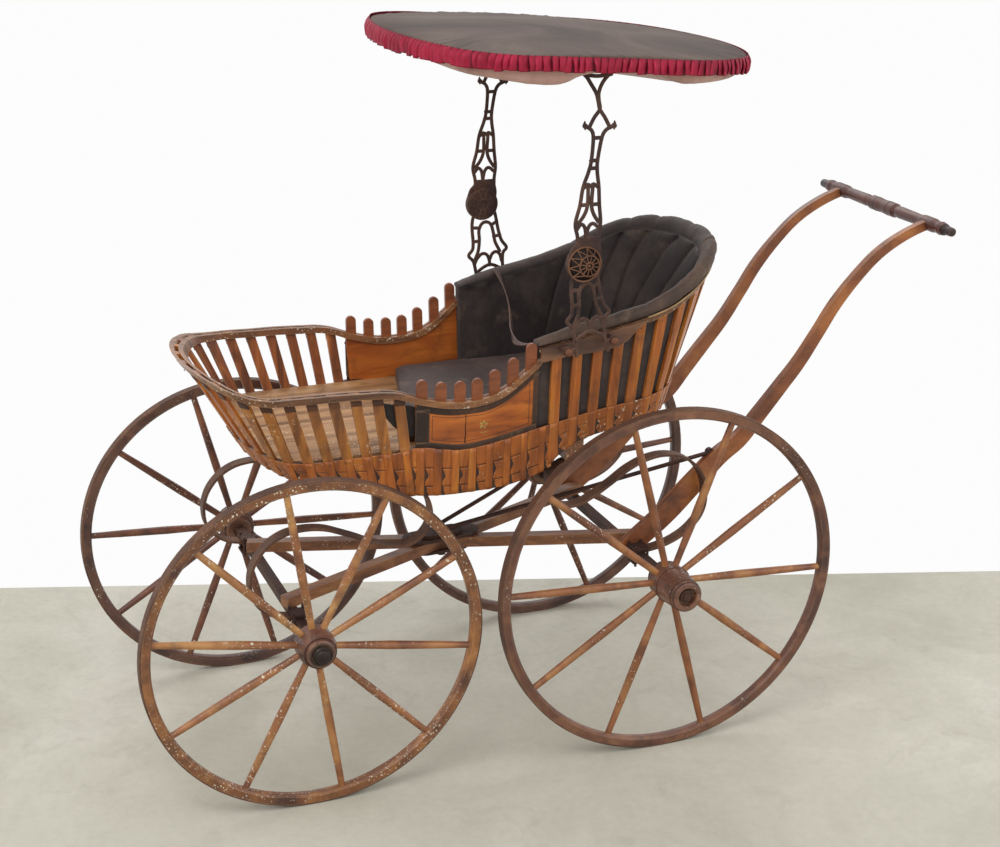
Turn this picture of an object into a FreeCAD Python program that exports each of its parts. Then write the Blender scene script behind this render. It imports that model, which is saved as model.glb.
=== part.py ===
"""Wooden baby carriage with a tilting parasol canopy.

Millimetres. Origin on the floor under the middle of the carriage, +X towards the foot end,
+Y to the carriage's left, +Z up. Every part is written to parts/NODE.step.
"""
import os
import math
import FreeCAD
import Part
from FreeCAD import Vector as V

os.makedirs("parts", exist_ok=True)

# ---------------------------------------------------------------- driving dimensions
FRONT = dict(name="front", x=484.0, radius=302.5, track=284.0, inboard=30.0, outboard=40.0)
REAR = dict(name="rear", x=-174.0, radius=330.0, track=309.0, inboard=33.0, outboard=76.0)
SPOKES = 10
TYRE_T, TYRE_W = 3.0, 20.0          # iron band: thickness, width
FELLOE_T = 17.0                     # wooden rim, radial
HUB_R = 34.0
JOURNAL_R, RUNNING = 7.0, 0.05      # axle end radius, radial clearance in the hub
AXLE_S = 16.0                       # square axle beam
COLLAR_R, SIDE_PLAY = 13.0, 0.4

WALL_T = 6.6                        # slats, panels and skirt
SIDE_HALF, SIDE_LEAN = 199.5, 0.065  # half-width at Z_REF and its growth per mm of height
FRONT_TIP, FRONT_LEAN = 546.0, 0.585
REAR_TIP, REAR_LEAN = -266.0, -0.333
Z_REF = 600.0
Z_LOW, Z_HIGH = 495.0, 915.0
FLOOR_T = 10.0
SLAT_W = 18.0
RAIL_T, RAIL_H = 6.5, 11.5
LINING_T = 16.0

# the undercarriage follows the body's width
SPRING_Y, SPRING_W, SPRING_T = SIDE_HALF - 21.0, 24.0, 5.0
REACH_Y, REACH_W, REACH_H = SIDE_HALF - 69.5, 22.0, 20.0
ARM_Y, ARM_T = SIDE_HALF - 45.5, 14.0          # handle arms: distance from the middle
BEARER_HALF = SIDE_HALF - 11.5

PIVOT = (-17.3, 920.4)              # canopy tilt axis, X and Z
STAND_Y, STAND_T, STROKE = SIDE_HALF + 41.0, 4.0, 5.2
HANDLE_X, HANDLE_Z, HANDLE_HALF = -772.5, 912.0, 231.0
TIP_R, TIP_L = 8.0, 25.0

CANOPY_X, CANOPY_Z, CANOPY_TILT = -59.0, 1251.0, 4.0
CANOPY_FRONT, CANOPY_REAR, CANOPY_HALF = 314.0, 326.0, 297.0
RUFFLE_T, RUFFLE_H = 10.0, 24.0
HOOP_T, HOOP_H = 8.0, 12.0
DOME_RISE, LINING_SAG = 18.0, 32.0

nodes = {}


# ---------------------------------------------------------------- small helpers
def box(x0, x1, y0, y1, z0, z1):
    return Part.makeBox(x1 - x0, y1 - y0, z1 - z0, V(x0, y0, z0))


def rod(a, b, r):
    a, b = V(*a), V(*b)
    return Part.makeCylinder(r, (b - a).Length, a, b - a)


def lathe(profile, origin, axis, ref):
    """Solid of revolution: profile rows are (distance along axis, radius)."""
    o, a, u = V(*origin), V(*axis), V(*ref)
    pts = [o + a * s + u * r for s, r in profile]
    face = Part.Face(Part.makePolygon(pts + [pts[0]]))
    return face.revolve(o, a, 360)


def mirror_y(shape):
    return shape.mirror(V(0, 0, 0), V(0, 1, 0))


def both(shape):
    return [shape, mirror_y(shape)]


def put(name, *shapes):
    flat = []
    for s in shapes:
        flat += s.Solids
    nodes[name] = flat


def tangents(pts):
    """Direction at each point, from the circle through its neighbours."""
    n, out = len(pts), []
    for i in range(n):
        j = min(max(i, 1), n - 2)
        a, b, c = pts[j - 1], pts[j], pts[j + 1]
        la, lc = math.dist(a, b), math.dist(b, c)
        ta = ((b[0] - a[0]) / la, (b[1] - a[1]) / la)
        tc = ((c[0] - b[0]) / lc, (c[1] - b[1]) / lc)
        if i == j:
            t = (ta[0] * lc + tc[0] * la, ta[1] * lc + tc[1] * la)
        else:
            mid = (ta[0] * lc + tc[0] * la, ta[1] * lc + tc[1] * la)
            k = math.hypot(*mid)
            mid, ch = (mid[0] / k, mid[1] / k), (ta if i < j else tc)
            dot = mid[0] * ch[0] + mid[1] * ch[1]
            t = (2 * dot * ch[0] - mid[0], 2 * dot * ch[1] - mid[1])
        k = math.hypot(*t)
        out.append((t[0] / k, t[1] / k))
    return out


def arc_to(p, t, q, at):
    """Edge from p to q that leaves p along t: an arc, or a line when straight."""
    dx, dy = q[0] - p[0], q[1] - p[1]
    nx, ny = -t[1], t[0]
    h = nx * dx + ny * dy
    if abs(h) < 1e-4 * math.hypot(dx, dy):
        return Part.LineSegment(at(*p), at(*q)).toShape()
    r = (dx * dx + dy * dy) / (2 * h)
    cx, cy = p[0] + nx * r, p[1] + ny * r
    mx, my = (p[0] + q[0]) / 2 - cx, (p[1] + q[1]) / 2 - cy
    k = abs(r) / max(math.hypot(mx, my), 1e-9)
    return Part.Arc(at(*p), at(cx + mx * k, cy + my * k), at(*q)).toShape()


def smooth(pts, at):
    """Tangent arcs through the points, two to each span."""
    ts, edges = tangents(pts), []
    for p, q, a, b in zip(pts, pts[1:], ts, ts[1:]):
        vx, vy = q[0] - p[0], q[1] - p[1]
        sx, sy = a[0] + b[0], a[1] + b[1]
        vt, vv = vx * sx + vy * sy, vx * vx + vy * vy
        c = 2 * (1 - a[0] * b[0] - a[1] * b[1])
        d = vv / (2 * vt) if c < 1e-7 else (-vt + math.sqrt(vt * vt + c * vv)) / c
        m = ((p[0] + a[0] * d + q[0] - b[0] * d) / 2, (p[1] + a[1] * d + q[1] - b[1] * d) / 2)
        edges += [arc_to(p, a, m, at), arc_to(q, (-b[0], -b[1]), m, at)]
    return edges


def sides(pts, halves):
    """The two edges of a strip with the given half-widths along its middle line."""
    left, right = [], []
    for (x, y), (tx, ty), h in zip(pts, tangents(pts), halves):
        left.append((x - ty * h, y + tx * h))
        right.append((x + ty * h, y - tx * h))
    return left, right


def xz(y):
    return lambda u, w: V(u, y, w)


def strip(pts, halves, y0, y1):
    """Strip drawn in the side view, from y0 to y1."""
    left, right = sides(pts, halves)
    at = xz(y0)
    edges = smooth(left, at) + smooth(right, at)
    edges.append(Part.LineSegment(at(*left[0]), at(*right[0])).toShape())
    edges.append(Part.LineSegment(at(*left[-1]), at(*right[-1])).toShape())
    wire = Part.Wire(Part.__sortEdges__(edges))
    return Part.Face(wire).extrude(V(0, y1 - y0, 0))


def window(low, high, half=300.0):
    """Everything between two side-view curves, each a list of (x, z)."""
    at = xz(-half)
    edges = smooth(low, at) + smooth(high, at)
    edges.append(Part.LineSegment(at(*low[0]), at(*high[0])).toShape())
    edges.append(Part.LineSegment(at(*low[-1]), at(*high[-1])).toShape())
    wire = Part.Wire(Part.__sortEdges__(edges))
    return Part.Face(wire).extrude(V(0, 2 * half, 0))


def raised(pts, dz):
    return [(x, z + dz) for x, z in pts]


def prism(pts, y0, y1):
    """Straight-sided side-view outline from y0 to y1."""
    p = [V(x, y0, z) for x, z in pts]
    return Part.Face(Part.makePolygon(p + [p[0]])).extrude(V(0, y1 - y0, 0))


# ---------------------------------------------------------------- body outline in plan
def body_numbers(z, off=0.0):
    """Half-width, tips, corner radii and corner angles of the body wall at height z."""
    dz = z - Z_REF
    return dict(half=SIDE_HALF + SIDE_LEAN * dz + off,
                front=FRONT_TIP + FRONT_LEAN * dz + off, front_r=66.0 + 0.11 * dz + off,
                front_a=math.radians(66), rear=REAR_TIP + REAR_LEAN * dz - off,
                rear_r=110.0 + 0.077 * dz + off, rear_a=math.radians(50))


def end_numbers(half, tip, r, a, sign):
    """One rounded end: big radius, its centre, and where the straight side starts."""
    big = r + (half - r) / math.cos(a)
    centre = tip - sign * big
    return big, centre, centre + sign * (big - r) * math.sin(a)


def end_points(half, tip, r, a, sign):
    """Five points of a rounded end, from the straight side to the tip."""
    big, centre, start = end_numbers(half, tip, r, a, sign)
    b = (a + math.pi / 2) / 2
    return [(start, half),
            (start + sign * r * math.sin(a / 2), half - r + r * math.cos(a / 2)),
            (start + sign * r * math.sin(a), half - r + r * math.cos(a)),
            (centre + sign * big * math.sin(b), big * math.cos(b)), (tip, 0.0)]


def plan_wire(z, half, front, front_r, front_a, rear, rear_r, rear_a):
    f = end_points(half, front, front_r, front_a, 1)
    r = end_points(half, rear, rear_r, rear_a, -1)

    def arc(a, b, c, s):
        return Part.Arc(*[V(x, s * y, z) for x, y in (a, b, c)]).toShape()

    def line(a, b):
        return Part.LineSegment(V(a[0], a[1], z), V(b[0], b[1], z)).toShape()

    return Part.Wire([
        arc(r[4], r[3], r[2], 1), arc(r[2], r[1], r[0], 1), line(r[0], f[0]),
        arc(f[0], f[1], f[2], 1), arc(f[2], f[3], f[4], 1), arc(f[4], f[3], f[2], -1),
        arc(f[2], f[1], f[0], -1), line((f[0][0], -f[0][1]), (r[0][0], -r[0][1])),
        arc(r[0], r[1], r[2], -1), arc(r[2], r[3], r[4], -1)])


def body(off):
    """The space inside the body wall's middle surface, grown by off."""
    wires = [plan_wire(z, **body_numbers(z, off)) for z in (Z_LOW, Z_HIGH)]
    return Part.makeLoft(wires, True, True)


def wall(outer, inner):
    return body(outer).cut(body(inner))


def along(z, s, end):
    """Point and direction on the wall's middle, at length s from the front or rear tip."""
    n = body_numbers(z)
    half, sign = n["half"], (1 if end == "front" else -1)
    r, a, tip = n[end + "_r"], n[end + "_a"], n[end]
    big, centre, start = end_numbers(half, tip, r, a, sign)
    s1, s2 = big * (math.pi / 2 - a), r * a
    if s <= s1:
        b = math.pi / 2 - s / big
        return (centre + sign * big * math.sin(b), big * math.cos(b)), \
               (-sign * math.cos(b), math.sin(b))
    if s <= s1 + s2:
        b = a - (s - s1) / r
        return (start + sign * r * math.sin(b), half - r + r * math.cos(b)), \
               (-sign * math.cos(b), math.sin(b))
    return (start - sign * (s - s1 - s2), half), (-sign, 0.0)


def length_to(z, x, end):
    """Length along the wall from the tip to where its straight side passes x."""
    n = body_numbers(z)
    sign = 1 if end == "front" else -1
    big, _, start = end_numbers(n["half"], n[end], n[end + "_r"], n[end + "_a"], sign)
    return big * (math.pi / 2 - n[end + "_a"]) + n[end + "_r"] * n[end + "_a"] \
        + sign * (start - x)


def slab(low, high, width):
    """Upright board across the wall: low and high are (z, (x, y), direction)."""
    (z0, p0, t0), (z1, p1, t1) = low, high
    a, b = V(p0[0], p0[1], z0), V(p1[0], p1[1], z1)
    t = V(t0[0] + t1[0], t0[1] + t1[1], 0).normalize()
    n = V(-t.y, t.x, 0)
    run = b - a
    a, b = a - run * 0.6, b + run * 0.6
    h = t * (width / 2)
    pts = [a - h, a + h, b + h, b - h]
    face = Part.Face(Part.makePolygon(pts + [pts[0]]))
    face.translate(n * -30)
    return face.extrude(n * 60)


# ---------------------------------------------------------------- side-view curves (x, z)
SKIRT_LOW = [(640, 578), (530, 571), (401, 545), (300, 522), (247, 512), (164, 509),
             (77, 517), (30, 535), (2, 558), (-32, 580), (-90, 594), (-150, 602),
             (-215, 605), (-300, 605)]
FOOT_LOW = [(640, 603), (430, 602), (275, 601)]
PANEL_LOW = [(300, 612), (266, 607), (184, 593), (110, 602), (43, 618)]
TUB_LOW = [(48, 615), (4, 624), (-70, 638), (-145, 647), (-186, 652), (-300, 655)]
RAIL = [(720, 752), (634, 745), (602, 734), (551, 721), (484, 718), (377, 715), (311, 709),
        (262, 692), (210, 680), (160, 679), (116, 690), (75, 718), (45, 744), (20, 764)]
RIM = [(75, 763), (0, 772), (-50, 781), (-100, 789), (-150, 799), (-200, 814),
       (-250, 836), (-290, 854), (-340, 868), (-420, 876)]
ARM_BOARD = [(46, 768), (0, 773), (-50, 782), (-100, 790), (-156, 800), (-137, 786),
             (-120, 768), (-102, 756), (-60, 751), (10, 747), (46, 741)]
SEAM_X = 46.0                       # where the foot rail gives way to the seat's rim
PANEL = [(48, 500), (262, 500), (279, 760), (48, 760)]   # side panel's outline below the rail


def between(low, high):
    return window(low, high)


rail_zone = between(raised(RAIL, -RAIL_H / 2), raised(RAIL, RAIL_H / 2))
under_rail = between([(720, 400), (300, 400), (SEAM_X, 400)],
                     [p for p in raised(RAIL, RAIL_H / 2 - 1) if p[0] > 30])
skin = wall(WALL_T / 2, -WALL_T / 2)


# ---------------------------------------------------------------- wheels
TURN = dict(front_left=8.5, front_right=14.6, rear_left=14.8, rear_right=22.4)  # first spoke


def wheel(w, side):
    """Nodes of one wheel; side is +1 on the left."""
    x, r, y = w["x"], w["radius"], side * w["track"]
    c, ax, up = (x, y, r), (0, side, 0), (0, 0, 1)
    tag = w["name"] + ("_left" if side > 0 else "_right")
    half = TYRE_W / 2
    r_in = r - TYRE_T - FELLOE_T
    tyre = lathe([(-half, r - TYRE_T), (half, r - TYRE_T), (half, r - 1), (half - 1, r),
                  (1 - half, r), (-half, r - 1)], c, ax, up)
    e = 4.5
    felloe = lathe([(-half, r - TYRE_T), (half, r - TYRE_T), (half, r_in + e),
                    (half - e * 0.8, r_in + 1), (half - e * 1.4, r_in), (e * 1.4 - half, r_in),
                    (e * 0.8 - half, r_in + 1), (-half, r_in + e)], c, ax, up)
    bore, lo, hi = JOURNAL_R + RUNNING, -w["inboard"], w["outboard"]
    long_hub = hi > 60
    nose = 27.0 if long_hub else 25.0
    rim = [(lo, 22), (lo + 2, 25), (lo + 9, 26), (lo + 11, 29), (-14, HUB_R), (14, HUB_R),
           (hi * 0.55, HUB_R - 2), (hi - 8, nose + 2), (hi - 2, nose), (hi, nose - 3)]
    if long_hub:                    # the nut sits in a recess
        rim += [(hi, 18), (hi - 12, 18)]
        hub = lathe([(lo, bore)] + rim + [(hi - 12, bore)], c, ax, up)
    else:
        hub = lathe([(lo, bore)] + rim + [(hi, bore)], c, ax, up)
    spoke = lathe([(30, 0), (30, 6), (60, 6.2), (r * 0.45, 7.8), (r * 0.75, 6.8),
                   (r_in - 20, 6.0), (r_in + 2, 5.8), (r_in + 2, 0)], c, up, ax)
    spoke = spoke.cut(hub).cut(felloe).Solids[0]
    rays = []
    for k in range(SPOKES):
        ray = spoke.copy()
        ray.rotate(V(*c), V(0, 1, 0), 360.0 * k / SPOKES + TURN[tag])
        rays.append(ray)
    put(tag + "_tyre", tyre)
    put(tag + "_rim", felloe)
    put(tag + "_spokes", *rays)
    put(tag + "_hub", hub)


for w in (FRONT, REAR):
    for side in (1, -1):
        wheel(w, side)


# ---------------------------------------------------------------- axles
def axle(w):
    x, z, s = w["x"], w["radius"], AXLE_S / 2
    shoulder = w["track"] - w["inboard"] - SIDE_PLAY
    end = w["track"] + w["outboard"]
    beam = box(x - s, x + s, -(shoulder - 7), shoulder - 7, z - s, z + s)
    out = [beam]
    for side in (1, -1):
        o, ax, up = (x, 0, z), (0, side, 0), (0, 0, 1)
        if w is REAR:               # nut inside the hub's recess, axle end showing
            out.append(lathe([(shoulder - 7, 0), (shoulder - 7, COLLAR_R), (shoulder, COLLAR_R),
                              (shoulder, JOURNAL_R), (end - 11.6, JOURNAL_R), (end - 11.6, 12),
                              (end - 5, 12), (end - 4, 8), (end - 1, 7), (end - 1, 0)],
                             o, ax, up))
        else:                       # round cap outside the hub
            out.append(lathe([(shoulder - 7, 0), (shoulder - 7, COLLAR_R), (shoulder, COLLAR_R),
                              (shoulder, JOURNAL_R), (end + SIDE_PLAY, JOURNAL_R),
                              (end + SIDE_PLAY, 16), (end + 4, 16), (end + 5, 13),
                              (end + 11, 12), (end + 14, 8), (end + 14, 0)], o, ax, up))
    put(w["name"] + "_axle", out[0].fuse(out[1:]).removeSplitter())
    return beam


axle_beams = axle(FRONT).fuse(axle(REAR))
FRONT_TOP = FRONT["radius"] + AXLE_S / 2
REAR_TOP = REAR["radius"] + AXLE_S / 2

# ---------------------------------------------------------------- reaches and their crossing
SLOPE = math.atan2(REAR_TOP - FRONT_TOP, FRONT["x"] - REAR["x"])
CROSS_X = (FRONT["x"] + REAR["x"]) / 2
CROSS_Z = (FRONT_TOP + REAR_TOP) / 2 + REACH_H / 2


def reach(side):
    """Bar from the front axle on one side to the rear axle on the other."""
    a = V(FRONT["x"], side * REACH_Y, FRONT_TOP)
    b = V(REAR["x"], -side * REACH_Y, REAR_TOP)
    run = (a - b).normalize()
    flat = V(run.x, run.y, 0).normalize()
    n = V(-flat.y, flat.x, 0) * (REACH_W / 2)
    a, b = a + run * 14, b - run * 14
    face = Part.Face(Part.makePolygon([a + n, b + n, b - n, a - n, a + n]))
    return face.extrude(V(0, 0, REACH_H))


clear = box(-900, 900, -(ARM_Y - ARM_T / 2), ARM_Y - ARM_T / 2, 0, 900)
left, right = [reach(s).common(clear).cut(axle_beams) for s in (1, -1)]
lap = left.common(right)
mid_plane = box(-300, 300, -100, 100, 0, 60)
mid_plane.rotate(V(0, 0, 0), V(0, 1, 0), math.degrees(SLOPE))
mid_plane.translate(V(CROSS_X, 0, CROSS_Z))
reach_left = left.cut(lap.common(mid_plane))
reach_right = right.cut(lap.cut(mid_plane))
put("reach_left", reach_left)
put("reach_right", reach_right)


def oval(length, width, height):
    """Flat plate with round ends, its underside at the origin."""
    r = width / 2
    c = length / 2 - r
    p = box(-c, c, -r, r, 0, height)
    return p.fuse([rod((s * c, 0, 0), (s * c, 0, height), r) for s in (1, -1)]).removeSplitter()


top_plate = oval(150, 56, 6).fuse(oval(84, 40, 12)).removeSplitter()
bottom_plate = oval(110, 50, 5).fuse(rod((0, 0, -12), (0, 0, 1), 8)).removeSplitter()
top_plate.translate(V(0, 0, REACH_H / 2))
bottom_plate.translate(V(0, 0, -REACH_H / 2 - 5))
for plate in (top_plate, bottom_plate):
    plate.rotate(V(0, 0, 0), V(0, 1, 0), math.degrees(SLOPE))
    plate.translate(V(CROSS_X, 0, CROSS_Z))
put("cross_plate", top_plate.cut(left).cut(right), bottom_plate.cut(left).cut(right))

# ---------------------------------------------------------------- springs (x, z), axle to body
FOOT = SPRING_T / 2
BODY_SEAT_Z = 540.0
FRONT_SPRING = [(466, FRONT_TOP + FOOT), (498, FRONT_TOP + FOOT), (535, 324), (563, 352),
                (570, 385), (564, 417), (547, 444), (511, 469), (480, 475), (452, 474),
                (386, 451), (350, 434), (316, 422), (284, 420), (258, 433), (241, 461),
                (243, 496), (262, 526), (290, BODY_SEAT_Z), (326, BODY_SEAT_Z)]
REAR_SPRING = [(-148, REAR_TOP + FOOT), (-196, REAR_TOP + FOOT), (-240, 351), (-274, 370),
               (-300, 402), (-306, 440), (-296, 478), (-270, 508), (-240, 522), (-211, 526),
               (-178, 521), (-146, 508), (-109, 484), (-77, 465), (-50, 453), (-24, 451),
               (0, 465), (13, 490), (11, 515), (-8, 534), (-32, BODY_SEAT_Z),
               (-52, BODY_SEAT_Z)]
BEARERS = [(284.0, 326.0), (-52.0, -16.0)]       # rear and front faces of each cross beam
beams = [box(a, b, -BEARER_HALF, BEARER_HALF, BODY_SEAT_Z + FOOT, Z_REF - 5) for a, b in BEARERS]
put("floor_bearers", *beams)
y0, y1 = SPRING_Y - SPRING_W / 2, SPRING_Y + SPRING_W / 2
for name, path in (("front_springs", FRONT_SPRING), ("rear_springs", REAR_SPRING)):
    leaf = strip(path, [FOOT] * len(path), y0, y1).cut(beams[0]).cut(beams[1]).cut(axle_beams)
    leaf = max(leaf.Solids, key=lambda s: s.Volume)
    put(name, *both(leaf))

clips, leaves = [], nodes["front_springs"] + nodes["rear_springs"]
for w, top in ((FRONT, FRONT_TOP), (REAR, REAR_TOP)):
    x, s = w["x"], AXLE_S / 2
    under = w["radius"] - s
    lid = box(x - 17, x + 17, SPRING_Y - 13, SPRING_Y + 13, top + SPRING_T, top + SPRING_T + 4)
    sole = box(x - 17, x + 17, SPRING_Y - 13, SPRING_Y + 13, under - 4, under)
    studs = [rod((x + a, SPRING_Y + b * 15, under - 9), (x + a, SPRING_Y + b * 15, top + 14), 2.5)
             for a in (-12, 12) for b in (-1, 1)]
    ears = [box(x - 17, x + 17, SPRING_Y + b * 17.5 - 4.5, SPRING_Y + b * 17.5 + 4.5, z, z + 4)
            for b in (-1, 1) for z in (top + SPRING_T, under - 4)]
    ears = [e.common(box(-900, 900, SPRING_Y - 14.5, SPRING_Y + 16.5, 0, 900)) for e in ears]
    clips += both(lid.fuse([sole] + studs + ears).cut(leaves).removeSplitter())
put("spring_clips", *clips)

# ---------------------------------------------------------------- handle
ARM = [  # x, z, half-width
    (-138, 318, 19), (-178, 348, 20), (-234, 391, 21), (-298, 451, 20.5), (-347, 497, 18),
    (-390, 527, 16), (-428, 571, 14.5), (-467, 617, 13.5), (-507, 665, 12.5), (-543, 718, 11.5),
    (-579, 773, 11), (-620, 821, 10), (-664, 862, 9.5), (-713, 891, 9), (-776, 913, 8.5)]
arm = strip([p[:2] for p in ARM], [p[2] for p in ARM], ARM_Y - ARM_T / 2, ARM_Y + ARM_T / 2)
bar_half = [(-HANDLE_HALF, 0), (-HANDLE_HALF, TIP_R), (TIP_L - HANDLE_HALF, TIP_R),
            (TIP_L - HANDLE_HALF, 11.5), (-196, 13), (-186, 11), (-172, 13.5), (-140, 13.5),
            (-126, 11), (-60, 12), (-48, 10.5), (-40, 14), (-16, 14), (0, 13)]
bar_profile = bar_half + [(-s, r) for s, r in reversed(bar_half[:-1])]
bar = lathe(bar_profile, (HANDLE_X, 0, HANDLE_Z), (0, 1, 0), (0, 0, 1))
put("handle_bar", bar)
arm = arm.cut(bar)
arm = arm.cut(box(-200, -100, 100, 200, 200, REAR_TOP))
arm = arm.cut(box(REAR["x"] + 26, 0, 100, 200, 200, 400))
arm = max(arm.Solids, key=lambda s: s.Volume)
put("handle_arms", *both(arm))

BRACE_R = 4.0
lean = REACH_H / 2 + 12 + BRACE_R
start = V(CROSS_X + 8, 10, CROSS_Z + lean)
brace = rod(tuple(start), (-330, ARM_Y - 2, 505), BRACE_R)
brace = brace.fuse(rod((-330, ARM_Y - 9, 505), (-330, ARM_Y, 505), 8)).cut(arm)
brace = max(brace.Solids, key=lambda s: s.Volume)
put("handle_braces", *both(brace))

# ---------------------------------------------------------------- body woodwork
inside = body(-WALL_T / 2)
floor = inside.common(box(-400, 700, -300, 300, Z_REF - 5, Z_REF - 5 + FLOOR_T))
BOARDS = 4
gaps = [box(-400, 700, y - 0.75, y + 0.75, 500, 700)
        for y in [(-1 + 2 * (i + 1) / BOARDS) * (SIDE_HALF - 9.5) for i in range(BOARDS - 1)]]
put("floor_boards", floor.cut(gaps[0].fuse(gaps[1:])))
FLOOR_TOP = Z_REF - 5 + FLOOR_T

upper_edge = [(640, 603), (430, 602), (300, 602), (276, 607), (184, 593), (110, 602),
              (46, 616), (4, 624), (-70, 638), (-145, 647), (-186, 652), (-300, 655)]
put("skirt", skin.common(window(SKIRT_LOW, upper_edge)))

# slats of the foot end: evenly along each side, then by their place across the front
SIDE_SLATS = 8
SIDE_LOW = (600.0, 291.0, 159.6)    # height, first slat's x, last one's length from the front
SIDE_HIGH = (708.0, 305.0, 185.0)
FRONT_SLATS = [(27, 28), (76, 82), (121, 134)]  # length from the front middle: low, high
low_s, high_s = [length_to(z, x, "front") for z, x, _ in (SIDE_LOW, SIDE_HIGH)]
above_skirt = window(upper_edge, [(640, 1000), (200, 1000), (-300, 1000)])
foot_zone = skin.common(above_skirt).common(under_rail).common(box(200, 800, 0, 300, 500, 900))


def wall_slat(z0, s0, z1, s1, end, zone):
    (p0, t0), (p1, t1) = along(z0, s0, end), along(z1, s1, end)
    return slab((z0, p0, t0), (z1, p1, t1), SLAT_W).common(zone)


low_step, high_step = [(s - row[2]) / (SIDE_SLATS - 1)
                       for s, row in ((low_s, SIDE_LOW), (high_s, SIDE_HIGH))]
side = [wall_slat(SIDE_LOW[0], low_s - k * low_step, SIDE_HIGH[0], high_s - k * high_step,
                  "front", foot_zone) for k in range(SIDE_SLATS)]
front = [wall_slat(SIDE_LOW[0], s0, SIDE_HIGH[0], s1, "front", foot_zone)
         for s0, s1 in FRONT_SLATS]
put("foot_slats_left", *side)
put("foot_slats_right", *[mirror_y(x) for x in side])
put("foot_slats_front", *[y for x in front for y in both(x)])

# rails on both sides of the slat tops
front_of_seam = box(SEAM_X, 800, -300, 300, 400, 1000)
put("rail_outer", wall(WALL_T / 2 + RAIL_T, WALL_T / 2).common(rail_zone).common(front_of_seam))
put("rail_inner", wall(-WALL_T / 2, -WALL_T / 2 - RAIL_T).common(rail_zone)
    .common(front_of_seam))

# side panels and the row of rounded fingers that stand up through the rails
panel = skin.common(above_skirt).common(under_rail)
panel = panel.common(prism(PANEL, -300, 300))
FINGERS = [  # x, tip z
    (263, 731), (228, 723), (193, 721), (161, 723), (129, 735), (95, 753), (62, 777)]
FINGER_R = 9.5
fingers = []
for x, tip in FINGERS:
    post = box(x - FINGER_R, x + FINGER_R, -300, 300, 640, tip - FINGER_R)
    fingers.append(post.fuse(rod((x, -300, tip - FINGER_R), (x, 300, tip - FINGER_R), FINGER_R)))
fingers = fingers[0].fuse(fingers[1:]).common(skin)
panel = panel.fuse(fingers.cut(box(-900, 900, -300, 300, 0, 650))).removeSplitter()
put("side_panels", panel)

# ---------------------------------------------------------------- seat tub
rim_z = raised(RIM, -8)
tub_zone = skin.common(above_skirt).common(
    window([(75, 500), (-100, 500), (-420, 500)], rim_z)).common(
    box(-500, SEAM_X - 2, -300, 300, 500, 1000))
TUB_SLATS = 12                      # from the seam to the one in the middle of the back
z_lo, z_hi = 640.0, 820.0
s_lo, s_hi = length_to(z_lo, 14, "rear"), length_to(z_hi, 14, "rear")
slats = []
for k in range(TUB_SLATS):
    t = k / TUB_SLATS
    piece = wall_slat(z_lo, s_lo * (1 - t * (1.07 - 0.07 * t)), z_hi, s_hi * (1 - t),
                      "rear", tub_zone)
    slats += both(piece.common(box(-500, 100, 0, 300, 500, 1000)))
slats.append(wall_slat(z_lo, 0, z_hi, 0, "rear", tub_zone))
put("tub_slats", *slats)

rim_zone = window(rim_z, raised(RIM, 2)).common(box(-500, SEAM_X, -300, 300, 500, 1000))
put("tub_rim", skin.common(rim_zone))

board_zone = prism(ARM_BOARD, -300, 300)
arm_boards = wall(WALL_T / 2 + RAIL_T, WALL_T / 2).common(board_zone)
put("arm_boards", arm_boards)

# ---------------------------------------------------------------- soft goods of the seat
SOFT = 0.3
lining_zone = window([(60, FLOOR_TOP + SOFT), (-150, FLOOR_TOP + SOFT), (-400, FLOOR_TOP + SOFT)],
                     [p for p in raised(RIM, 2)])
lining_zone = lining_zone.common(box(-500, SEAM_X + 4, -300, 300, 500, 1000))
lining = wall(-WALL_T / 2 - SOFT, -WALL_T / 2 - SOFT - LINING_T).common(lining_zone)
lining = lining.cut(wall(0, -WALL_T / 2 - RAIL_T - SOFT).common(
    box(SEAM_X - SOFT, 100, -300, 300, 700, 800)))
put("back_lining", max(lining.Solids, key=lambda s: s.Volume))

PAD_TOP = [(75, 771), (50, 779), (12, 790), (-50, 804), (-100, 813), (-150, 824), (-200, 842),
           (-250, 864), (-290, 882), (-340, 896), (-420, 902)]
pad_zone = window(raised(RIM, 2 + SOFT), PAD_TOP).common(
    box(-500, 58, -300, 300, 500, 1000))
pad = wall(6, -20).common(pad_zone)
pad = pad.cut(body(WALL_T / 2 + RAIL_T + SOFT).common(
    box(SEAM_X - SOFT, 100, -300, 300, 500, 1000)))
put("rim_pad", max(pad.Solids, key=lambda s: s.Volume))

CUSHION_T = 35.0
CUSHION_FRONT = [(-260, -230), (178, -230), (312, 230), (-260, 230)]
plan = [V(x, y, FLOOR_TOP + SOFT) for x, y in CUSHION_FRONT]
cushion = Part.Face(Part.makePolygon(plan + [plan[0]])).extrude(V(0, 0, CUSHION_T))
cushion = cushion.common(body(-WALL_T / 2 - LINING_T - 1.0))
put("seat_cushion", cushion)

FLAP = [(262, 622), (284, 628), (322, 662), (340, 696), (262, 676)]
flap = wall(-WALL_T / 2 - 0.4, -WALL_T / 2 - 3.4).common(prism(FLAP, 0, 300))
put("leather_flap", flap)

STRAP = [  # along the way from the far side to the near side, height
    (0, 797), (50, 777), (120, 752), (200, 738), (280, 739), (350, 755), (392, 770)]
STRAP_ENDS = ((-30.0, 6.5 - SIDE_HALF), (56.0, SIDE_HALF - 9.5))
(ax_, ay_), (bx_, by_) = STRAP_ENDS
run = math.hypot(bx_ - ax_, by_ - ay_)
ux, uy = (bx_ - ax_) / run, (by_ - ay_) / run
scale = run / STRAP[-1][0]
left_side, right_side = sides([(s * scale, z) for s, z in STRAP], [1.5] * len(STRAP))


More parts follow.
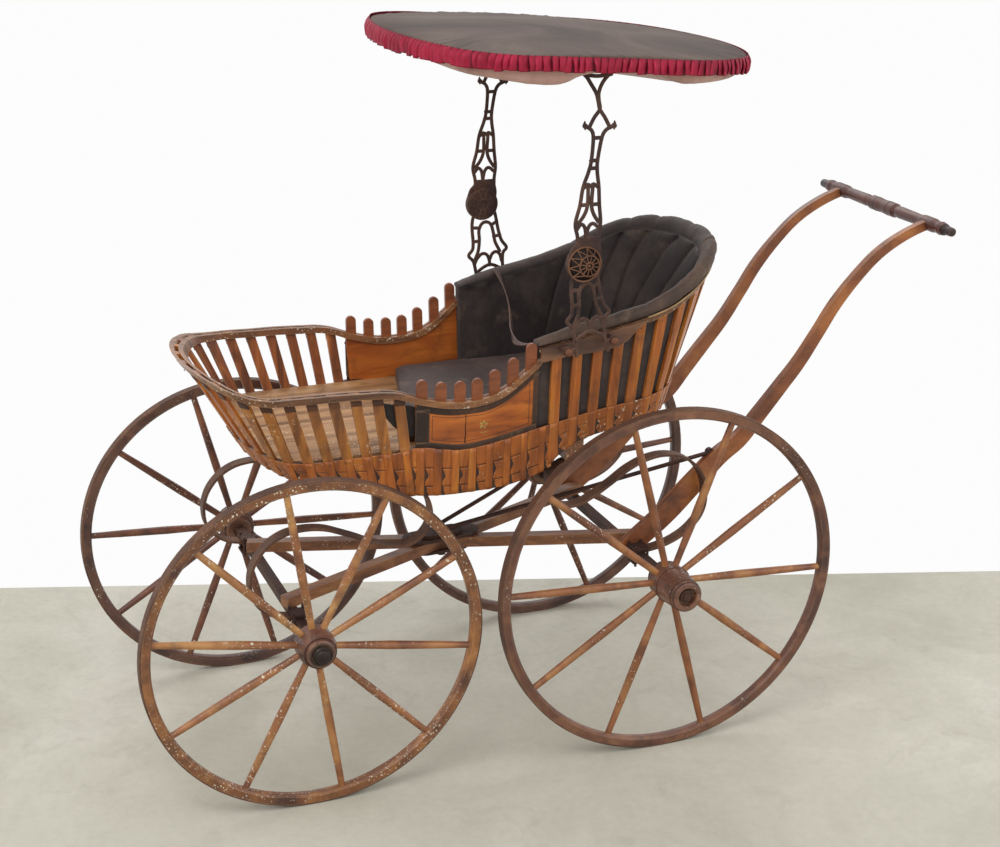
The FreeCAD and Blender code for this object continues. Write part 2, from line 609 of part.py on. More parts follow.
def strap_at(s, z):
    return V(ax_ + ux * s + uy * 8, ay_ + uy * s - ux * 8, z)


edges = smooth(left_side, strap_at) + smooth(right_side, strap_at)
edges.append(Part.LineSegment(strap_at(*left_side[0]), strap_at(*right_side[0])).toShape())
edges.append(Part.LineSegment(strap_at(*left_side[-1]), strap_at(*right_side[-1])).toShape())
strap = Part.Face(Part.Wire(Part.__sortEdges__(edges))).extrude(V(-uy * 16, ux * 16, 0))
strap = strap.cut(nodes["rim_pad"][0]).cut(nodes["back_lining"][0])
put("seat_strap", max(strap.Solids, key=lambda s: s.Volume))


# ---------------------------------------------------------------- canopy standards
def strokes(lines, y0, y1, width=STROKE):
    """Openwork of flat bars: each line is a run of (x, z) points."""
    parts = []
    for line in lines:
        for (ax, az), (bx, bz) in zip(line, line[1:]):
            k = (width / 2) / math.hypot(bx - ax, bz - az)
            nx, nz = (az - bz) * k, (bx - ax) * k
            parts.append(prism([(ax + nx, az + nz), (bx + nx, bz + nz), (bx - nx, bz - nz),
                                (ax - nx, az - nz)], y0, y1))
        parts += [rod((x, y0, z), (x, y1, z), width / 2) for x, z in line]
    return parts


LOWER_STROKES = [
    [(2, 892), (2, 866), (1, 846), (2, 831), (10, 819), (0, 806), (-6, 780), (-10, 756)],
    [(-4, 812), (-10, 828), (-12, 849), (-11, 868), (-17, 881), (-27, 884), (-36, 878),
     (-41, 862), (-45, 843), (-55, 824)],
    [(-45, 892), (-52, 868), (-58, 846), (-69, 830), (-62, 820), (-61, 800), (-64, 778),
     (-69, 760)],
    [(-2, 800), (-10, 812), (-19, 822), (-28, 818), (-33, 806), (-34, 797)],
    [(-34, 812), (-39, 822), (-47, 823), (-54, 817), (-58, 806)],
    [(-6, 780), (-14, 787), (-34, 797), (-54, 790), (-62, 786)],
    [(2, 874), (-10, 873)], [(1, 846), (-12, 847)], [(-42, 854), (-55, 856)],
    [(-37, 877), (-48, 884)], [(-7, 768), (8, 765)], [(-67, 778), (-79, 777)]]
UPPER_STROKES = [
    [(-6, 940), (-6, 966), (-1, 997), (-11, 1042), (-25, 1080), (-30, 1125), (-22, 1146),
     (-8, 1157)],
    [(-36, 940), (-44, 966), (-50, 991), (-46, 1040), (-44, 1079), (-48, 1124), (-60, 1147),
     (-73, 1153)],
    [(-22, 1150), (-39, 1181), (-33, 1204), (-22, 1226), (3, 1252)],
    [(-60, 1150), (-39, 1181), (-35, 1204), (-46, 1226), (-72, 1247)],
    [(-14, 994), (-26, 1010), (-29, 1052)], [(-43, 990), (-36, 1008), (-31, 1052)],
    [(-13, 1052), (-45, 1052)], [(-30, 1134), (-49, 1134)], [(-29, 1093), (-44, 1093)],
    [(-27, 1082), (-43, 1082)], [(-10, 1023), (-26, 1023)], [(-34, 1023), (-46, 1023)],
    [(-3, 983), (-22, 987), (-46, 983)], [(-22, 987), (-22, 940)], [(-10, 1239), (-60, 1236)]]
FEET = [(8, 765), (-79, 777)]         # bolted feet of each bracket
px, pz = PIVOT
disc_r, pin_r = 31.5, 4.0
y0, y1 = STAND_Y, STAND_Y + STAND_T
lower = [rod((px, y0 - 1, pz), (px, y1, pz), disc_r), rod((px, y0, pz), (px, y1 + 8, pz), pin_r)]
lower += strokes([[(x, z) for x, z in line] for line in LOWER_STROKES], y0, y1)
for x, z in FEET:
    lower += [rod((x, y0 - 35.5, z), (x, y1, z), 6), rod((x, y0, z), (x, y1, z), 8),
              rod((x, y1, z), (x, y1 + 5, z), 6)]
lower = lower[0].fuse(lower[1:]).cut(body(WALL_T / 2 + RAIL_T)).removeSplitter()
lower = max(lower.Solids, key=lambda s: s.Volume)
put("canopy_brackets", *both(lower))

GAP = 0.3
upper_y0, upper_y1 = y1 + GAP, y1 + GAP + STAND_T
upper = [rod((px, upper_y0, pz), (px, upper_y1, pz), disc_r)]
upper += strokes([[(x, max(z, 952)) for x, z in line] for line in UPPER_STROKES],
                 upper_y0, upper_y1)
neck = prism([(px - 24, pz + 12), (px + 18, pz + 12), (-2, 960), (-46, 960)], upper_y0, upper_y1)
upper = upper[0].fuse(upper[1:] + [neck])
upper = upper.cut(rod((px, upper_y0 - 5, pz), (px, upper_y1 + 5, pz), pin_r + RUNNING))
upper = upper.removeSplitter()


# ---------------------------------------------------------------- canopy, drawn level
def canopy_numbers(off):
    return dict(half=CANOPY_HALF + off, front=CANOPY_FRONT + off, front_r=115 + off,
                front_a=math.radians(68), rear=-CANOPY_REAR - off, rear_r=200 + off,
                rear_a=math.radians(68))


def canopy_plan(off, z0, z1):
    face = Part.Face(plan_wire(z0, **canopy_numbers(off)))
    return face.extrude(V(0, 0, z1 - z0))


def ball(r, z):
    return Part.makeSphere(r, V(0, 0, z))


def place(shape):
    s = shape.copy()
    s.rotate(V(0, 0, 0), V(0, 1, 0), -CANOPY_TILT)
    s.translate(V(CANOPY_X, 0, CANOPY_Z))
    return s


CLOTH = 2.5
dome_r = (CANOPY_REAR ** 2 + DOME_RISE ** 2) / (2 * DOME_RISE)
dome_z = RUFFLE_H - 1 + DOME_RISE - dome_r
cover = canopy_plan(0, 0, 90).common(ball(dome_r, dome_z))
cover = cover.cut(canopy_plan(-CLOTH, -5, 95).common(ball(dome_r - CLOTH, dome_z)))

hoop_out = -CLOTH - SOFT
hoop = canopy_plan(hoop_out, 0, HOOP_H).cut(canopy_plan(hoop_out - HOOP_T, -5, HOOP_H + 5))
in_hoop = canopy_plan(hoop_out - HOOP_T, -50, HOOP_H + 5)
BAR_X = (-75.0, 125.0)              # side irons, ends measured from the canopy's middle
bar_y0, bar_y1 = STAND_Y - 1, STAND_Y + 16
frame = [box(BAR_X[0], BAR_X[1], s * bar_y0, s * bar_y1, -3, 4.5) if s > 0 else
         box(BAR_X[0], BAR_X[1], -bar_y1, -bar_y0, -3, 4.5) for s in (1, -1)]
ribs = [box(x - 8, x + 8, -400, 400, 4.5, 10.5).common(in_hoop)
        for x in (BAR_X[0] + 8, BAR_X[1] - 8)]
frame = hoop.fuse(frame + ribs).removeSplitter()

LINING_STEPS = [(2.0, 0.0), (-20.0, -20.0), (-LINING_SAG, -90.0)]   # height, inset of the plan
lin_off = hoop_out - HOOP_T - SOFT


def bowl(lift, inset):
    wires = [plan_wire(z + lift, **canopy_numbers(lin_off + step - inset))
             for z, step in LINING_STEPS]
    parts = [Part.makeLoft([a, b], True, True) for a, b in zip(wires, wires[1:])]
    return parts[0].fuse(parts[1:])


under_lining = bowl(0, 0).cut(bowl(2, 1.5))
FORK_X = (-25.0, 73.0)              # room for the fork tips
for s in (1, -1):
    a, b = sorted((s * (bar_y0 - 4), s * 400))
    under_lining = under_lining.cut(box(BAR_X[0] - 1, BAR_X[1] + 1, a, b, -4, 80))
    a, b = sorted((s * (upper_y0 - 3), s * (upper_y1 + 3)))
    under_lining = under_lining.cut(box(*FORK_X, a, b, -80, 80))
for x in (BAR_X[0] + 8, BAR_X[1] - 8):
    under_lining = under_lining.cut(box(x - 9, x + 9, -400, 400, 4, 40))
under_lining = max(under_lining.Solids, key=lambda s: s.Volume)

ruffle = canopy_plan(RUFFLE_T, 0, RUFFLE_H).cut(canopy_plan(SOFT, -5, RUFFLE_H + 5))

frame, cover, ruffle = place(frame), place(cover), place(ruffle)
put("canopy_frame", frame)
put("canopy_cover", cover)
put("canopy_ruffle", ruffle)
put("canopy_lining", place(under_lining))
upper = max(upper.cut(frame).Solids, key=lambda s: s.Volume)
put("canopy_standards", *both(upper))

# ---------------------------------------------------------------- write every node
for name, solids in nodes.items():
    shape = solids[0] if len(solids) == 1 else Part.makeCompound(solids)
    shape.exportStep("parts/%s.step" % name)
    print("%-20s solids %2d  volume %9.1f cm3  valid %s" % (
        name, len(solids), sum(s.Volume for s in solids) / 1000.0,
        all(s.isValid() and s.Volume > 0 for s in solids)))
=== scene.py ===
"""Looks of the wooden baby carriage: materials, soft goods, trim, floor, light and camera."""
import math
import random

import bmesh
import bpy
import numpy as np
from mathutils import Matrix, Vector
from mathutils.noise import fractal


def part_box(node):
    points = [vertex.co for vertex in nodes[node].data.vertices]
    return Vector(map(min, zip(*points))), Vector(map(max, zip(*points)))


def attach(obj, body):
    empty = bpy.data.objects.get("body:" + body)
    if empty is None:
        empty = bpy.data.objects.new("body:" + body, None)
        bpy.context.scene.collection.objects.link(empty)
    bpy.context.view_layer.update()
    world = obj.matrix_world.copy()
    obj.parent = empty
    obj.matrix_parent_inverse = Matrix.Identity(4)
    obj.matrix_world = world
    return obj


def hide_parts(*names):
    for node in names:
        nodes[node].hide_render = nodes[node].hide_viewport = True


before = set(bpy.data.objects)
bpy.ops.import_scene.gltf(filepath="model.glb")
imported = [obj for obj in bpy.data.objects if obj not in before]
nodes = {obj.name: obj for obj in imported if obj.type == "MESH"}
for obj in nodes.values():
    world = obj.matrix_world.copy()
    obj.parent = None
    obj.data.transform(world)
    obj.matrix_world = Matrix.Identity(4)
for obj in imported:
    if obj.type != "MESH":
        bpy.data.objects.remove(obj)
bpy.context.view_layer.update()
random.seed(7)
M = {}                                           # the materials by name


# ---------------------------------------------------------------- material helpers
class Graph:
    """A Principled material with short ways to add and link nodes; base is its colour so far."""

    def __init__(self, name, **values):
        self.mat = M[name] = bpy.data.materials.new(name)
        self.mat.use_nodes = True
        self.tree = self.mat.node_tree
        self.shader = self.tree.nodes["Principled BSDF"]
        for key, value in values.items():
            self.shader.inputs[key.replace("_", " ")].default_value = value
        self.place = self.add("TexCoord").outputs["Object"]

    def feed(self, socket, value):
        if isinstance(value, bpy.types.NodeSocket):
            self.tree.links.new(value, socket)
        else:
            socket.default_value = value

    def add(self, kind, inputs=None, **props):
        n = self.tree.nodes.new("ShaderNode" + kind)
        for key, value in props.items():
            setattr(n, key, value)
        for key, value in (inputs or {}).items():
            self.feed(n.inputs[key], value)
        return n

    def stretch(self, scale):
        return self.add("Mapping", {"Vector": self.place, "Scale": scale}).outputs[0]

    def noise(self, scale, detail=4.0, rough=0.6, vector=None, distort=0.0, key="Fac"):
        return self.add("TexNoise", {"Vector": vector or self.place, "Scale": scale,
                                     "Detail": detail, "Roughness": rough,
                                     "Distortion": distort}).outputs[key]

    def ramp(self, fac, *stops):
        n = self.add("ValToRGB", {"Fac": fac})
        e = n.color_ramp.elements
        while len(e) < len(stops):
            e.new(0.5)
        for item, (at, colour) in zip(e, stops):
            item.position = at
            item.color = (*colour, 1) if isinstance(colour, tuple) else (colour,) * 3 + (1,)
        return n.outputs["Color"]

    def mask(self, fac, low, high, most=1.0, least=0.0):
        """A value that goes from least at low to most at high."""
        return self.ramp(fac, (low, least), (high, most))

    def tone(self, fac, dark, mid, light, low=0.32, high=0.68):
        self.base = self.ramp(fac, (low, dark), (0.5, mid), (high, light))

    def mix(self, fac, a, b):
        n = self.add("Mix", data_type="RGBA")
        for k, value in ((0, fac), (6, a), (7, b)):
            self.feed(n.inputs[k], (*value, 1) if isinstance(value, tuple) else value)
        return n.outputs[2]

    def over(self, fac, colour):
        """Lay a colour on the base where fac is 1."""
        self.base = self.mix(fac, self.base, colour)

    def stain(self, colour, scale, low, high, most=1.0, detail=5, rough=0.7, distort=0.0):
        """Lay a colour on the base in patches of noise."""
        patches = self.noise(scale, detail, rough, distort=distort)
        self.over(self.mask(patches, low, high, most), colour)

    def math(self, how, a, b):
        n = self.add("Math", operation=how)
        self.feed(n.inputs[0], a)
        self.feed(n.inputs[1], b)
        return n.outputs[0]

    def times(self, a, b):
        return self.math("MULTIPLY", a, b)

    def voronoi(self, scale, vector, feature="F1"):
        return self.add("TexVoronoi", {"Vector": vector, "Scale": scale}, feature=feature).outputs

    def bump(self, height, strength, distance, under=None):
        inputs = {"Height": height, "Strength": strength, "Distance": distance}
        if under:
            inputs["Normal"] = under
        return self.add("Bump", inputs).outputs[0]

    def edges(self, width=0.0015):
        """1 near sharp edges and 0 elsewhere, for worn corners and painted highlights on edges."""
        round_normal = self.add("Bevel", {"Radius": width}, samples=4).outputs[0]
        flat = self.add("NewGeometry").outputs["Normal"]
        dot = self.add("VectorMath", {0: round_normal, 1: flat}, operation="DOT_PRODUCT")
        return self.mask(dot.outputs["Value"], 0.90, 0.995, 0.0, 1.0)

    def finish(self, **sockets):
        for key, socket in {"Base Color": self.base, **sockets}.items():
            self.tree.links.new(socket, self.shader.inputs[key])


def tones(text):
    """Blender's linear values of colours written as rrggbb."""
    return [tuple((c / 255 / 12.92) if c <= 10 else ((c / 255 + 0.055) / 1.055) ** 2.4
                  for c in bytes.fromhex(code)) for code in text.split()]


def shade(colour, by):
    return tuple(min(1, c * by) for c in colour)


def pairs(text):
    """Points written as "x z, x z"."""
    return [tuple(float(v) for v in pair.split()) for pair in text.split(",")]


def wood(name, colours, grain, wear=0.5, specks=0.0, rough=0.42, coat=0.15, above=None):
    """Old varnished wood: light, mid, dark and, if given, the colour of edges, worn and with a
    painted highlight.

    grain stretches the noise: a small number runs along the grain. Above a curve of (x, z)
    in millimetres, the wood is darker and redder.
    """
    light, mid, dark, *worn_and_lit_edge = tones(colours)
    g = Graph(name, Coat_Weight=coat, Coat_Roughness=0.25)
    along = g.stretch(grain)
    fine = g.noise(1.0, 6, 0.7, along, 0.4)
    broad = g.noise(5.5, 3, 0.55)
    g.tone(g.noise(0.35, 3, 0.6, along, 1.2), dark, mid, light)
    g.over(g.mask(fine, 0.45, 0.75, 0.55), dark)
    g.over(g.mask(broad, 0.42, 0.7, wear), shade(mid, 0.45))
    if worn_and_lit_edge:
        g.over(g.times(g.edges(), g.mask(g.noise(30.0, 3), 0.35, 0.6)), worn_and_lit_edge[0])
    grime = g.mask(g.noise(22.0, 5, 0.65), 0.55, 0.78, 0.7)
    pale, soot, red, dark_red = tones("e2d6c0 3a241a 945230 643624")
    g.over(grime, soot)
    if specks:                                   # chipped paint, in two sizes of cell
        area = g.mask(g.noise(6.0, 3), 0.56 - specks * 0.24, 0.66 - specks * 0.1)
        shake = g.add("VectorMath", {0: g.noise(140.0, 2, 0.6, key="Color"), "Scale": 0.006},
                      operation="SCALE").outputs[0]
        bent = g.add("VectorMath", {0: g.place, 1: shake}).outputs[0]
        for scale, size in ((120.0, 0.38), (260.0, 0.44)):
            cells = g.voronoi(scale, bent)
            own = g.math("POWER", cells["Color"], 2.6 - specks)
            near = g.math("SUBTRACT", cells["Distance"], g.times(own, size))
            g.over(g.times(g.times(g.mask(near, 0.0, 0.03, 0.0, 1.0), area), 0.9), pale)
    if above:                                    # a curve node holds x and z as shares
        parts = g.add("SeparateXYZ", {"Vector": g.place}).outputs
        x0, x1 = above[-1][0], above[0][0]
        share = g.math("DIVIDE", g.math("SUBTRACT", parts["X"], x0 / 1000), (x1 - x0) / 1000)
        line = g.add("FloatCurve", {"Value": share})
        curve = line.mapping.curves[0]
        low, span = 600, 200
        for x, z in above[1:-1]:
            curve.points.new((x - x0) / (x1 - x0), (z - low) / span)
        curve.points[0].location = (0.0, (above[-1][1] - low) / span)
        curve.points[-1].location = (1.0, (above[0][1] - low) / span)
        line.mapping.update()
        level = g.math("ADD", g.times(line.outputs["Value"], span / 1000), low / 1000)
        over = g.mask(g.math("SUBTRACT", parts["Z"], level), 0.0, 0.004, 0.8)
        g.over(over, g.mix(g.mask(fine, 0.35, 0.65), red, dark_red))
    g.finish(Roughness=g.mask(broad, 0.3, 0.7, min(rough + 0.22, 1.0), rough - 0.08),
             Normal=g.bump(fine, 0.35, 0.0006, g.bump(grime, 0.25, 0.0004)))


def iron(name, colours, rough=0.62, wear=0.5):
    """Old painted iron: dark, rust and, if given, the colour of edges, worn and with a painted
    highlight.
    """
    dark, rust, *worn_and_lit_edge = tones(colours)
    g = Graph(name, Metallic=0.35, Specular_IOR_Level=0.4)
    big, small = g.noise(14.0, 5, 0.6), g.noise(240.0, 4, 0.7)
    g.base = g.mix(g.mask(big, 0.38, 0.68, wear), dark, rust)
    g.over(g.mask(small, 0.4, 0.8, 0.5), shade(dark, 0.4))
    # pale colour on sharp edges: wear, and on nails and nuts a painted highlight
    if worn_and_lit_edge:
        g.over(g.times(g.edges(0.001), g.mask(big, 0.4, 0.6, 0.8, 0.1)), worn_and_lit_edge[0])
    g.finish(Roughness=g.mask(small, 0.3, 0.7, rough + 0.15, rough - 0.12),
             Normal=g.bump(small, 0.4, 0.0005, g.bump(big, 0.3, 0.001)))


def cloth(name, colours, weave=900.0, sheen=0.3, mottle=9.0, rough=0.85):
    """Woven cloth: threads, uneven dye and soiling, then painted shade deep in folds and a painted
    highlight high on them.
    """
    dark, mid, light, *fold_shade_and_highlight = tones(colours)
    g = Graph(name, Roughness=rough, Sheen_Weight=sheen, Sheen_Roughness=0.5,
              Specular_IOR_Level=0.25)
    big = g.noise(mottle, 5, 0.62, distort=0.8)
    g.tone(big, dark, mid, light, high=0.7)
    if fold_shade_and_highlight:
        # painted light of the pleats: shade colour in their valleys, highlight colour on their lit
        # crests
        pleat_light = g.add("Attribute", attribute_name="pleat_light").outputs["Fac"]
        g.over(g.mask(pleat_light, 0.0, 0.45, 0.0, 1.0), fold_shade_and_highlight[0])
        g.over(g.times(g.mask(pleat_light, 0.6, 1.0), g.mask(g.noise(38.0, 3), 0.4, 0.65, 0.8, 0.15)),
               fold_shade_and_highlight[1])
    g.stain(shade(dark, 0.55), 60.0, 0.6, 0.8, 0.35, 4)
    thread = g.times(*[g.add("TexWave", {"Vector": g.place, "Scale": weave, "Distortion": 0.6,
                                         "Detail": 1.0}, bands_direction=way).outputs["Fac"]
                       for way in "XY"])
    g.over(g.times(thread, 0.12), shade(light, 1.6))
    g.finish(Normal=g.bump(thread, 0.25, 0.0002, g.bump(big, 0.25, 0.001)))


def leather(name, colours, rough=0.5):
    """Old leather cloth: dark, mid, light, then where it is rubbed, and a paler tone where it
    faces up.
    """
    dark, mid, light, scuff, up_facing_tone = (tones(colours) + [None, None])[:5]
    g = Graph(name, Specular_IOR_Level=0.35, Sheen_Weight=0.05)
    big = g.noise(7.0, 5, 0.6, distort=0.5)
    g.tone(big, dark, mid, light, 0.33)
    small = g.noise(70.0, 5, 0.7)
    g.over(g.mask(small, 0.4, 0.75, 0.45), dark)
    grain = g.mask(g.voronoi(900.0, g.place, "DISTANCE_TO_EDGE")["Distance"], 0.0, 0.25)
    cracks = g.voronoi(60.0, g.stretch((1, 1, 2.2)), "DISTANCE_TO_EDGE")["Distance"]
    lines = g.times(g.mask(cracks, 0.0, 0.035, 0.0, 1.0),
                    g.mask(g.noise(11.0, 3), 0.5, 0.66, 0.4))
    g.over(lines, shade(dark, 0.4))
    if scuff:
        g.over(g.times(g.mask(g.noise(16.0, 5, 0.7), 0.55, 0.75, 0.8),
                       g.mask(small, 0.35, 0.6, 1.0, 0.2)), scuff)
        g.over(g.times(g.edges(0.002), 0.7), scuff)
    # paler where the surface faces up
    if up_facing_tone:
        up = g.add("SeparateXYZ", {"Vector": g.add("NewGeometry").outputs["Normal"]}).outputs["Z"]
        g.over(g.times(g.mask(up, 0.25, 0.9, 0.75), g.mask(big, 0.3, 0.6, 1.0, 0.5)), up_facing_tone)
    g.finish(Roughness=g.mask(big, 0.3, 0.7, rough + 0.18, rough - 0.08),
             Normal=g.bump(grain, 0.25, 0.0003,
                           g.bump(lines, 0.5, 0.0006, g.bump(small, 0.3, 0.0006))))


wood("slat_wood", "d0822e b2601c 703612 bc8a54", (70, 70, 7))
wood("skirt_wood", "d0822e b2601c 703612 bc8a54", (80, 80, 8), wear=0.65, specks=0.25)
# the skirt under the scroll plates, dark as painted shade seen through the gaps between them
wood("skirt_gap_shade", "542e1c 3e2216 261612", (80, 80, 8))
wood("rail_wood", "ac7848 8c5a36 543424 c49c6c", (8, 60, 70), wear=0.6, specks=0.6)
wood("arm_board_wood", "8e6244 704a36 462e26 b28a66", (9, 60, 60), wear=0.6)
wood("shaded_slat_wood", "c47a40 9e5a30 623824 be8658", (70, 70, 7))
# its pale edge colour is also a painted highlight
wood("worn_slat_wood", "ca8638 a86628 6c3e1c c8965e", (70, 70, 7), specks=0.1)
wood("panel_wood", "ce7426 b25c1a 7a3a12", (9, 60, 60), wear=0.3,
     above=pairs("292 703, 262 692, 210 680, 160 679, 116 690, 75 718, 45 744, 12 770"))
wood("inlay_wood", "784222 60321c 3c2016", (9, 60, 60))
wood("floor_wood", "d0a270 b68658 7c5436", (5, 70, 70), rough=0.6, coat=0.0, specks=0.4)
wood("handle_wood", "c27c42 9c5a32 623624 c4925e", (14, 70, 14), wear=0.35, rough=0.36)
wood("bar_wood", "7a483a 5c322a 36201e 96664c", (60, 8, 60), rough=0.4)
wood("dark_turning", "46302a 342220 201616 785a48", (60, 8, 60))
wood("reach_wood", "b27a4a 905c3a 5e3a2a bc8a54", (9, 60, 60), specks=0.15)
wood("spoke_wood", "c48e54 9e6238 683a28 ceaa7a", (22, 22, 22), wear=0.6, specks=0.12)
wood("spoke_wood_specked", "c89458 a2683c 6c3e2a d2b082", (22, 22, 22), specks=0.9)
wood("shaded_spoke_wood", "9e6642 7a4832 4e2e26 b0845e", (22, 22, 22), wear=0.6, specks=0.3)
wood("felloe_wood", "906246 724836 462c26 aa8462", (30, 60, 30), specks=0.12)
wood("felloe_wood_specked", "b27842 865432 4e3026 be966c", (24, 60, 24), specks=0.95)
wood("shaded_felloe_wood", "785442 5e3e34 382624 967058", (30, 60, 30), specks=0.1)
wood("hub_wood", "92644a 744c3a 422a24 aa8260", (50, 20, 50), specks=0.35)
wood("hoop_wood", "be9462 a27648 68462c", (10, 10, 60), rough=0.6)
iron("old_iron", "42302c 744832 846452")
iron("spring_paint", "584036 8a644e a6846c", wear=0.85)
iron("tyre_iron", "5c4238 865c42 a08068", wear=0.8)
iron("standard_iron", "42302c 6c4c3e 907262", wear=0.75)
# the pale edge colours of nail and nut iron are painted highlights on their rims
iron("nail_iron", "4a3e36 78604c b4a48c")
iron("nut_iron", "28201e 463830 a09280", rough=0.45)
iron("bolt_iron", "684232 8e5c40 aa8062")
iron("tracery_iron", "684634 8a5e42 a88062", wear=0.8)
# near-black: the panel's crack, and painted shade under the medallions' tracery
iron("dark_gap", "1a1210 281a16")
cloth("canopy_cloth", "483c36 5e4e46 705f56", mottle=4.0, sheen=0.06)
# the last two colours are painted shade in the pleats' valleys and a painted highlight on their
# crests
cloth("ruffle_cloth", "7a0c26 981634 b02242 2e040e c42c50", 1400.0, 0.03, 14.0, 0.55)
cloth("lining_cloth", "a88074 c2988c d4b0a4", mottle=8.0)
leather("tub_leather", "26201f 362e2c 4e423e 705c4e 625652", rough=0.62)
leather("pad_leather", "382b25 4e3d34 685446 967c62", rough=0.6)
leather("cushion_leather", "382b27 4e3d38 624f48 786356", rough=0.66)
leather("strap_leather", "32221c 4c342a 684a3c 8c6854")
leather("welt_leather", "806242 a48258 be9e70 ceb68c")
leather("cap_leather", "3e2418 563422 70482e")
leather("edge_leather", "2c1e18 402c22 583e2e 785c42")
leather("gilt_paint", "3c2c1a 967434 be9c56")

# ---------------------------------------------------------------- materials of the CAD nodes
PAINTED = {"skirt_gap_shade": "skirt", "rail_wood": "rail_outer rail_inner tub_rim",
           "arm_board_wood": "arm_boards", "panel_wood": "side_panels",
           "floor_wood": "floor_boards", "reach_wood": "floor_bearers reach_left reach_right",
           "handle_wood": "handle_arms", "bar_wood": "handle_bar", "hoop_wood": "canopy_frame",
           "standard_iron": "canopy_brackets canopy_standards",
           "shaded_slat_wood": "foot_slats_right", "worn_slat_wood": "foot_slats_left",
           "felloe_wood_specked": "front_left_rim", "spoke_wood_specked": "front_left_spokes",
           "shaded_felloe_wood": "front_right_rim rear_right_rim",
           "shaded_spoke_wood": "front_right_spokes rear_right_spokes",
           "spring_paint": "front_springs rear_springs"}
BY_NAME = {name: key for key, names in PAINTED.items() for name in names.split()}
BY_PART = {"_tyre": "tyre_iron", "_rim": "felloe_wood", "_spokes": "spoke_wood",
           "_hub": "hub_wood", "slats": "slat_wood", "": "old_iron"}

for name, obj in nodes.items():
    found = BY_NAME.get(name) or next(key for part, key in BY_PART.items() if part in name)
    obj.data.materials.clear()
    obj.data.materials.append(M[found])

# ---------------------------------------------------------------- mesh helpers (millimetres in)
MM = 0.001


def link(name, data):
    obj = bpy.data.objects.new(name, data)
    bpy.context.scene.collection.objects.link(obj)
    return obj


def new_piece(name, points, faces, material, body, slot, smooth=True):
    """Mesh object from points in millimetres, riding on a body."""
    mesh = bpy.data.meshes.new(name)
    mesh.from_pydata((np.asarray(points, float) * MM).tolist(), [], faces)
    bm = bmesh.new()
    bm.from_mesh(mesh)
    bmesh.ops.recalc_face_normals(bm, faces=bm.faces)
    bm.to_mesh(mesh)
    bm.free()
    mesh.polygons.foreach_set("use_smooth", [smooth] * len(mesh.polygons))
    mesh.materials.append(M[material])
    obj = link(name, mesh)
    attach(obj, body)
    return obj


def thicken(obj, thick, offset=0):
    add = obj.modifiers.new("thick", "SOLIDIFY")
    add.thickness, add.offset = thick, offset


def grid(rows, cols, wrap_rows=False, wrap_cols=False):
    """Quads of a grid of points stored row by row."""
    out = []
    for i in range(rows if wrap_rows else rows - 1):
        for j in range(cols if wrap_cols else cols - 1):
            a, b = i * cols, (i + 1) % rows * cols
            d = (j + 1) % cols
            out.append((a + j, a + d, b + d, b + j))
    return out


def cone(middle, base, count):
    """Triangles from a middle point to a ring that starts at base."""
    return [(middle, base + j, base + (j + 1) % count) for j in range(count)]


def shell(rows, cols):
    """Faces of a closed solid of rings, each of cols points, with its two ends capped."""
    return grid(rows, cols, False, True) + [tuple(range(cols))[::-1],
                                            tuple(range((rows - 1) * cols, rows * cols))]


def ripple(p, scale, seed=0.0):
    """Smooth noise about 0 at a point in millimetres; scale is the size of its lumps."""
    q = Vector((p[0] / scale + seed, p[1] / scale - seed, p[2] / scale + 2 * seed))
    return fractal(q, 1.0, 2.0, 3)


def unit(rows):
    return rows / np.linalg.norm(rows, axis=1)[:, None]


def heading(line):
    """Unit vectors along a run of points."""
    return unit(np.gradient(line, axis=0))


def angles(count):
    return [2 * math.pi * k / count for k in range(count)]


def polar(centre, radius, a):
    return centre[0] + radius * math.cos(a), centre[1] + radius * math.sin(a)


def circle(centre, radius, sides):
    return [polar(centre, radius, a) for a in angles(sides)]


def tube(line, radius, closed=False):
    """Points and faces of a round tube along a run of points."""
    sides = 8
    line = np.asarray(line, float)
    n = len(line)
    way = unit(np.roll(line, -1, 0) - np.roll(line, 1, 0)) if closed else heading(line)
    up = np.array([0.0, 0.0, 1.0]) if abs(way[0][2]) < 0.9 else np.array([1.0, 0.0, 0.0])
    pts = []
    for p, w in zip(line, way):
        u = up - w * (up @ w)
        u /= np.linalg.norm(u)
        up, v = u, np.cross(w, u)
        pts += [p + radius * (u * math.cos(a) + v * math.sin(a)) for a in angles(sides)]
    return pts, grid(n, sides, True, True) if closed else shell(n, sides)


def curve_through(rows, x):
    """Smooth (monotone cubic) value at x from (x, value) rows."""
    xs, vs = np.array(sorted(rows), float).T
    h, d = np.diff(xs), np.diff(vs) / np.diff(xs)
    m = np.concatenate([[d[0]], np.where(d[:-1] * d[1:] > 0, (d[:-1] + d[1:]) / 2, 0), [d[-1]]])
    x = np.clip(x, xs[0], xs[-1])
    k = np.clip(np.searchsorted(xs, x, side="right") - 1, 0, len(h) - 1)
    u = (x - xs[k]) / h[k]
    return ((1 + 2 * u) * (1 - u) ** 2 * vs[k] + u * (1 - u) ** 2 * h[k] * m[k]
            + u * u * (3 - 2 * u) * vs[k + 1] + u * u * (u - 1) * h[k] * m[k + 1])


class Batch:
    """Several closed shells gathered into one piece."""

    def __init__(self):
        self.pts, self.faces = [], []

    def add(self, pts, faces):
        base = len(self.pts)
        self.pts += [tuple(p) for p in pts]
        self.faces += [tuple(i + base for i in f) for f in faces]

    def piece(self, name, *rest):
        """new_piece with the shells' points and faces."""
        return new_piece(name, self.pts, self.faces, *rest)


# ---------------------------------------------------------------- the body wall and canopy plan
WALL = 3.3                                       # half the wall's thickness
RIM_END = 50.0                                   # x where the padded roll ends


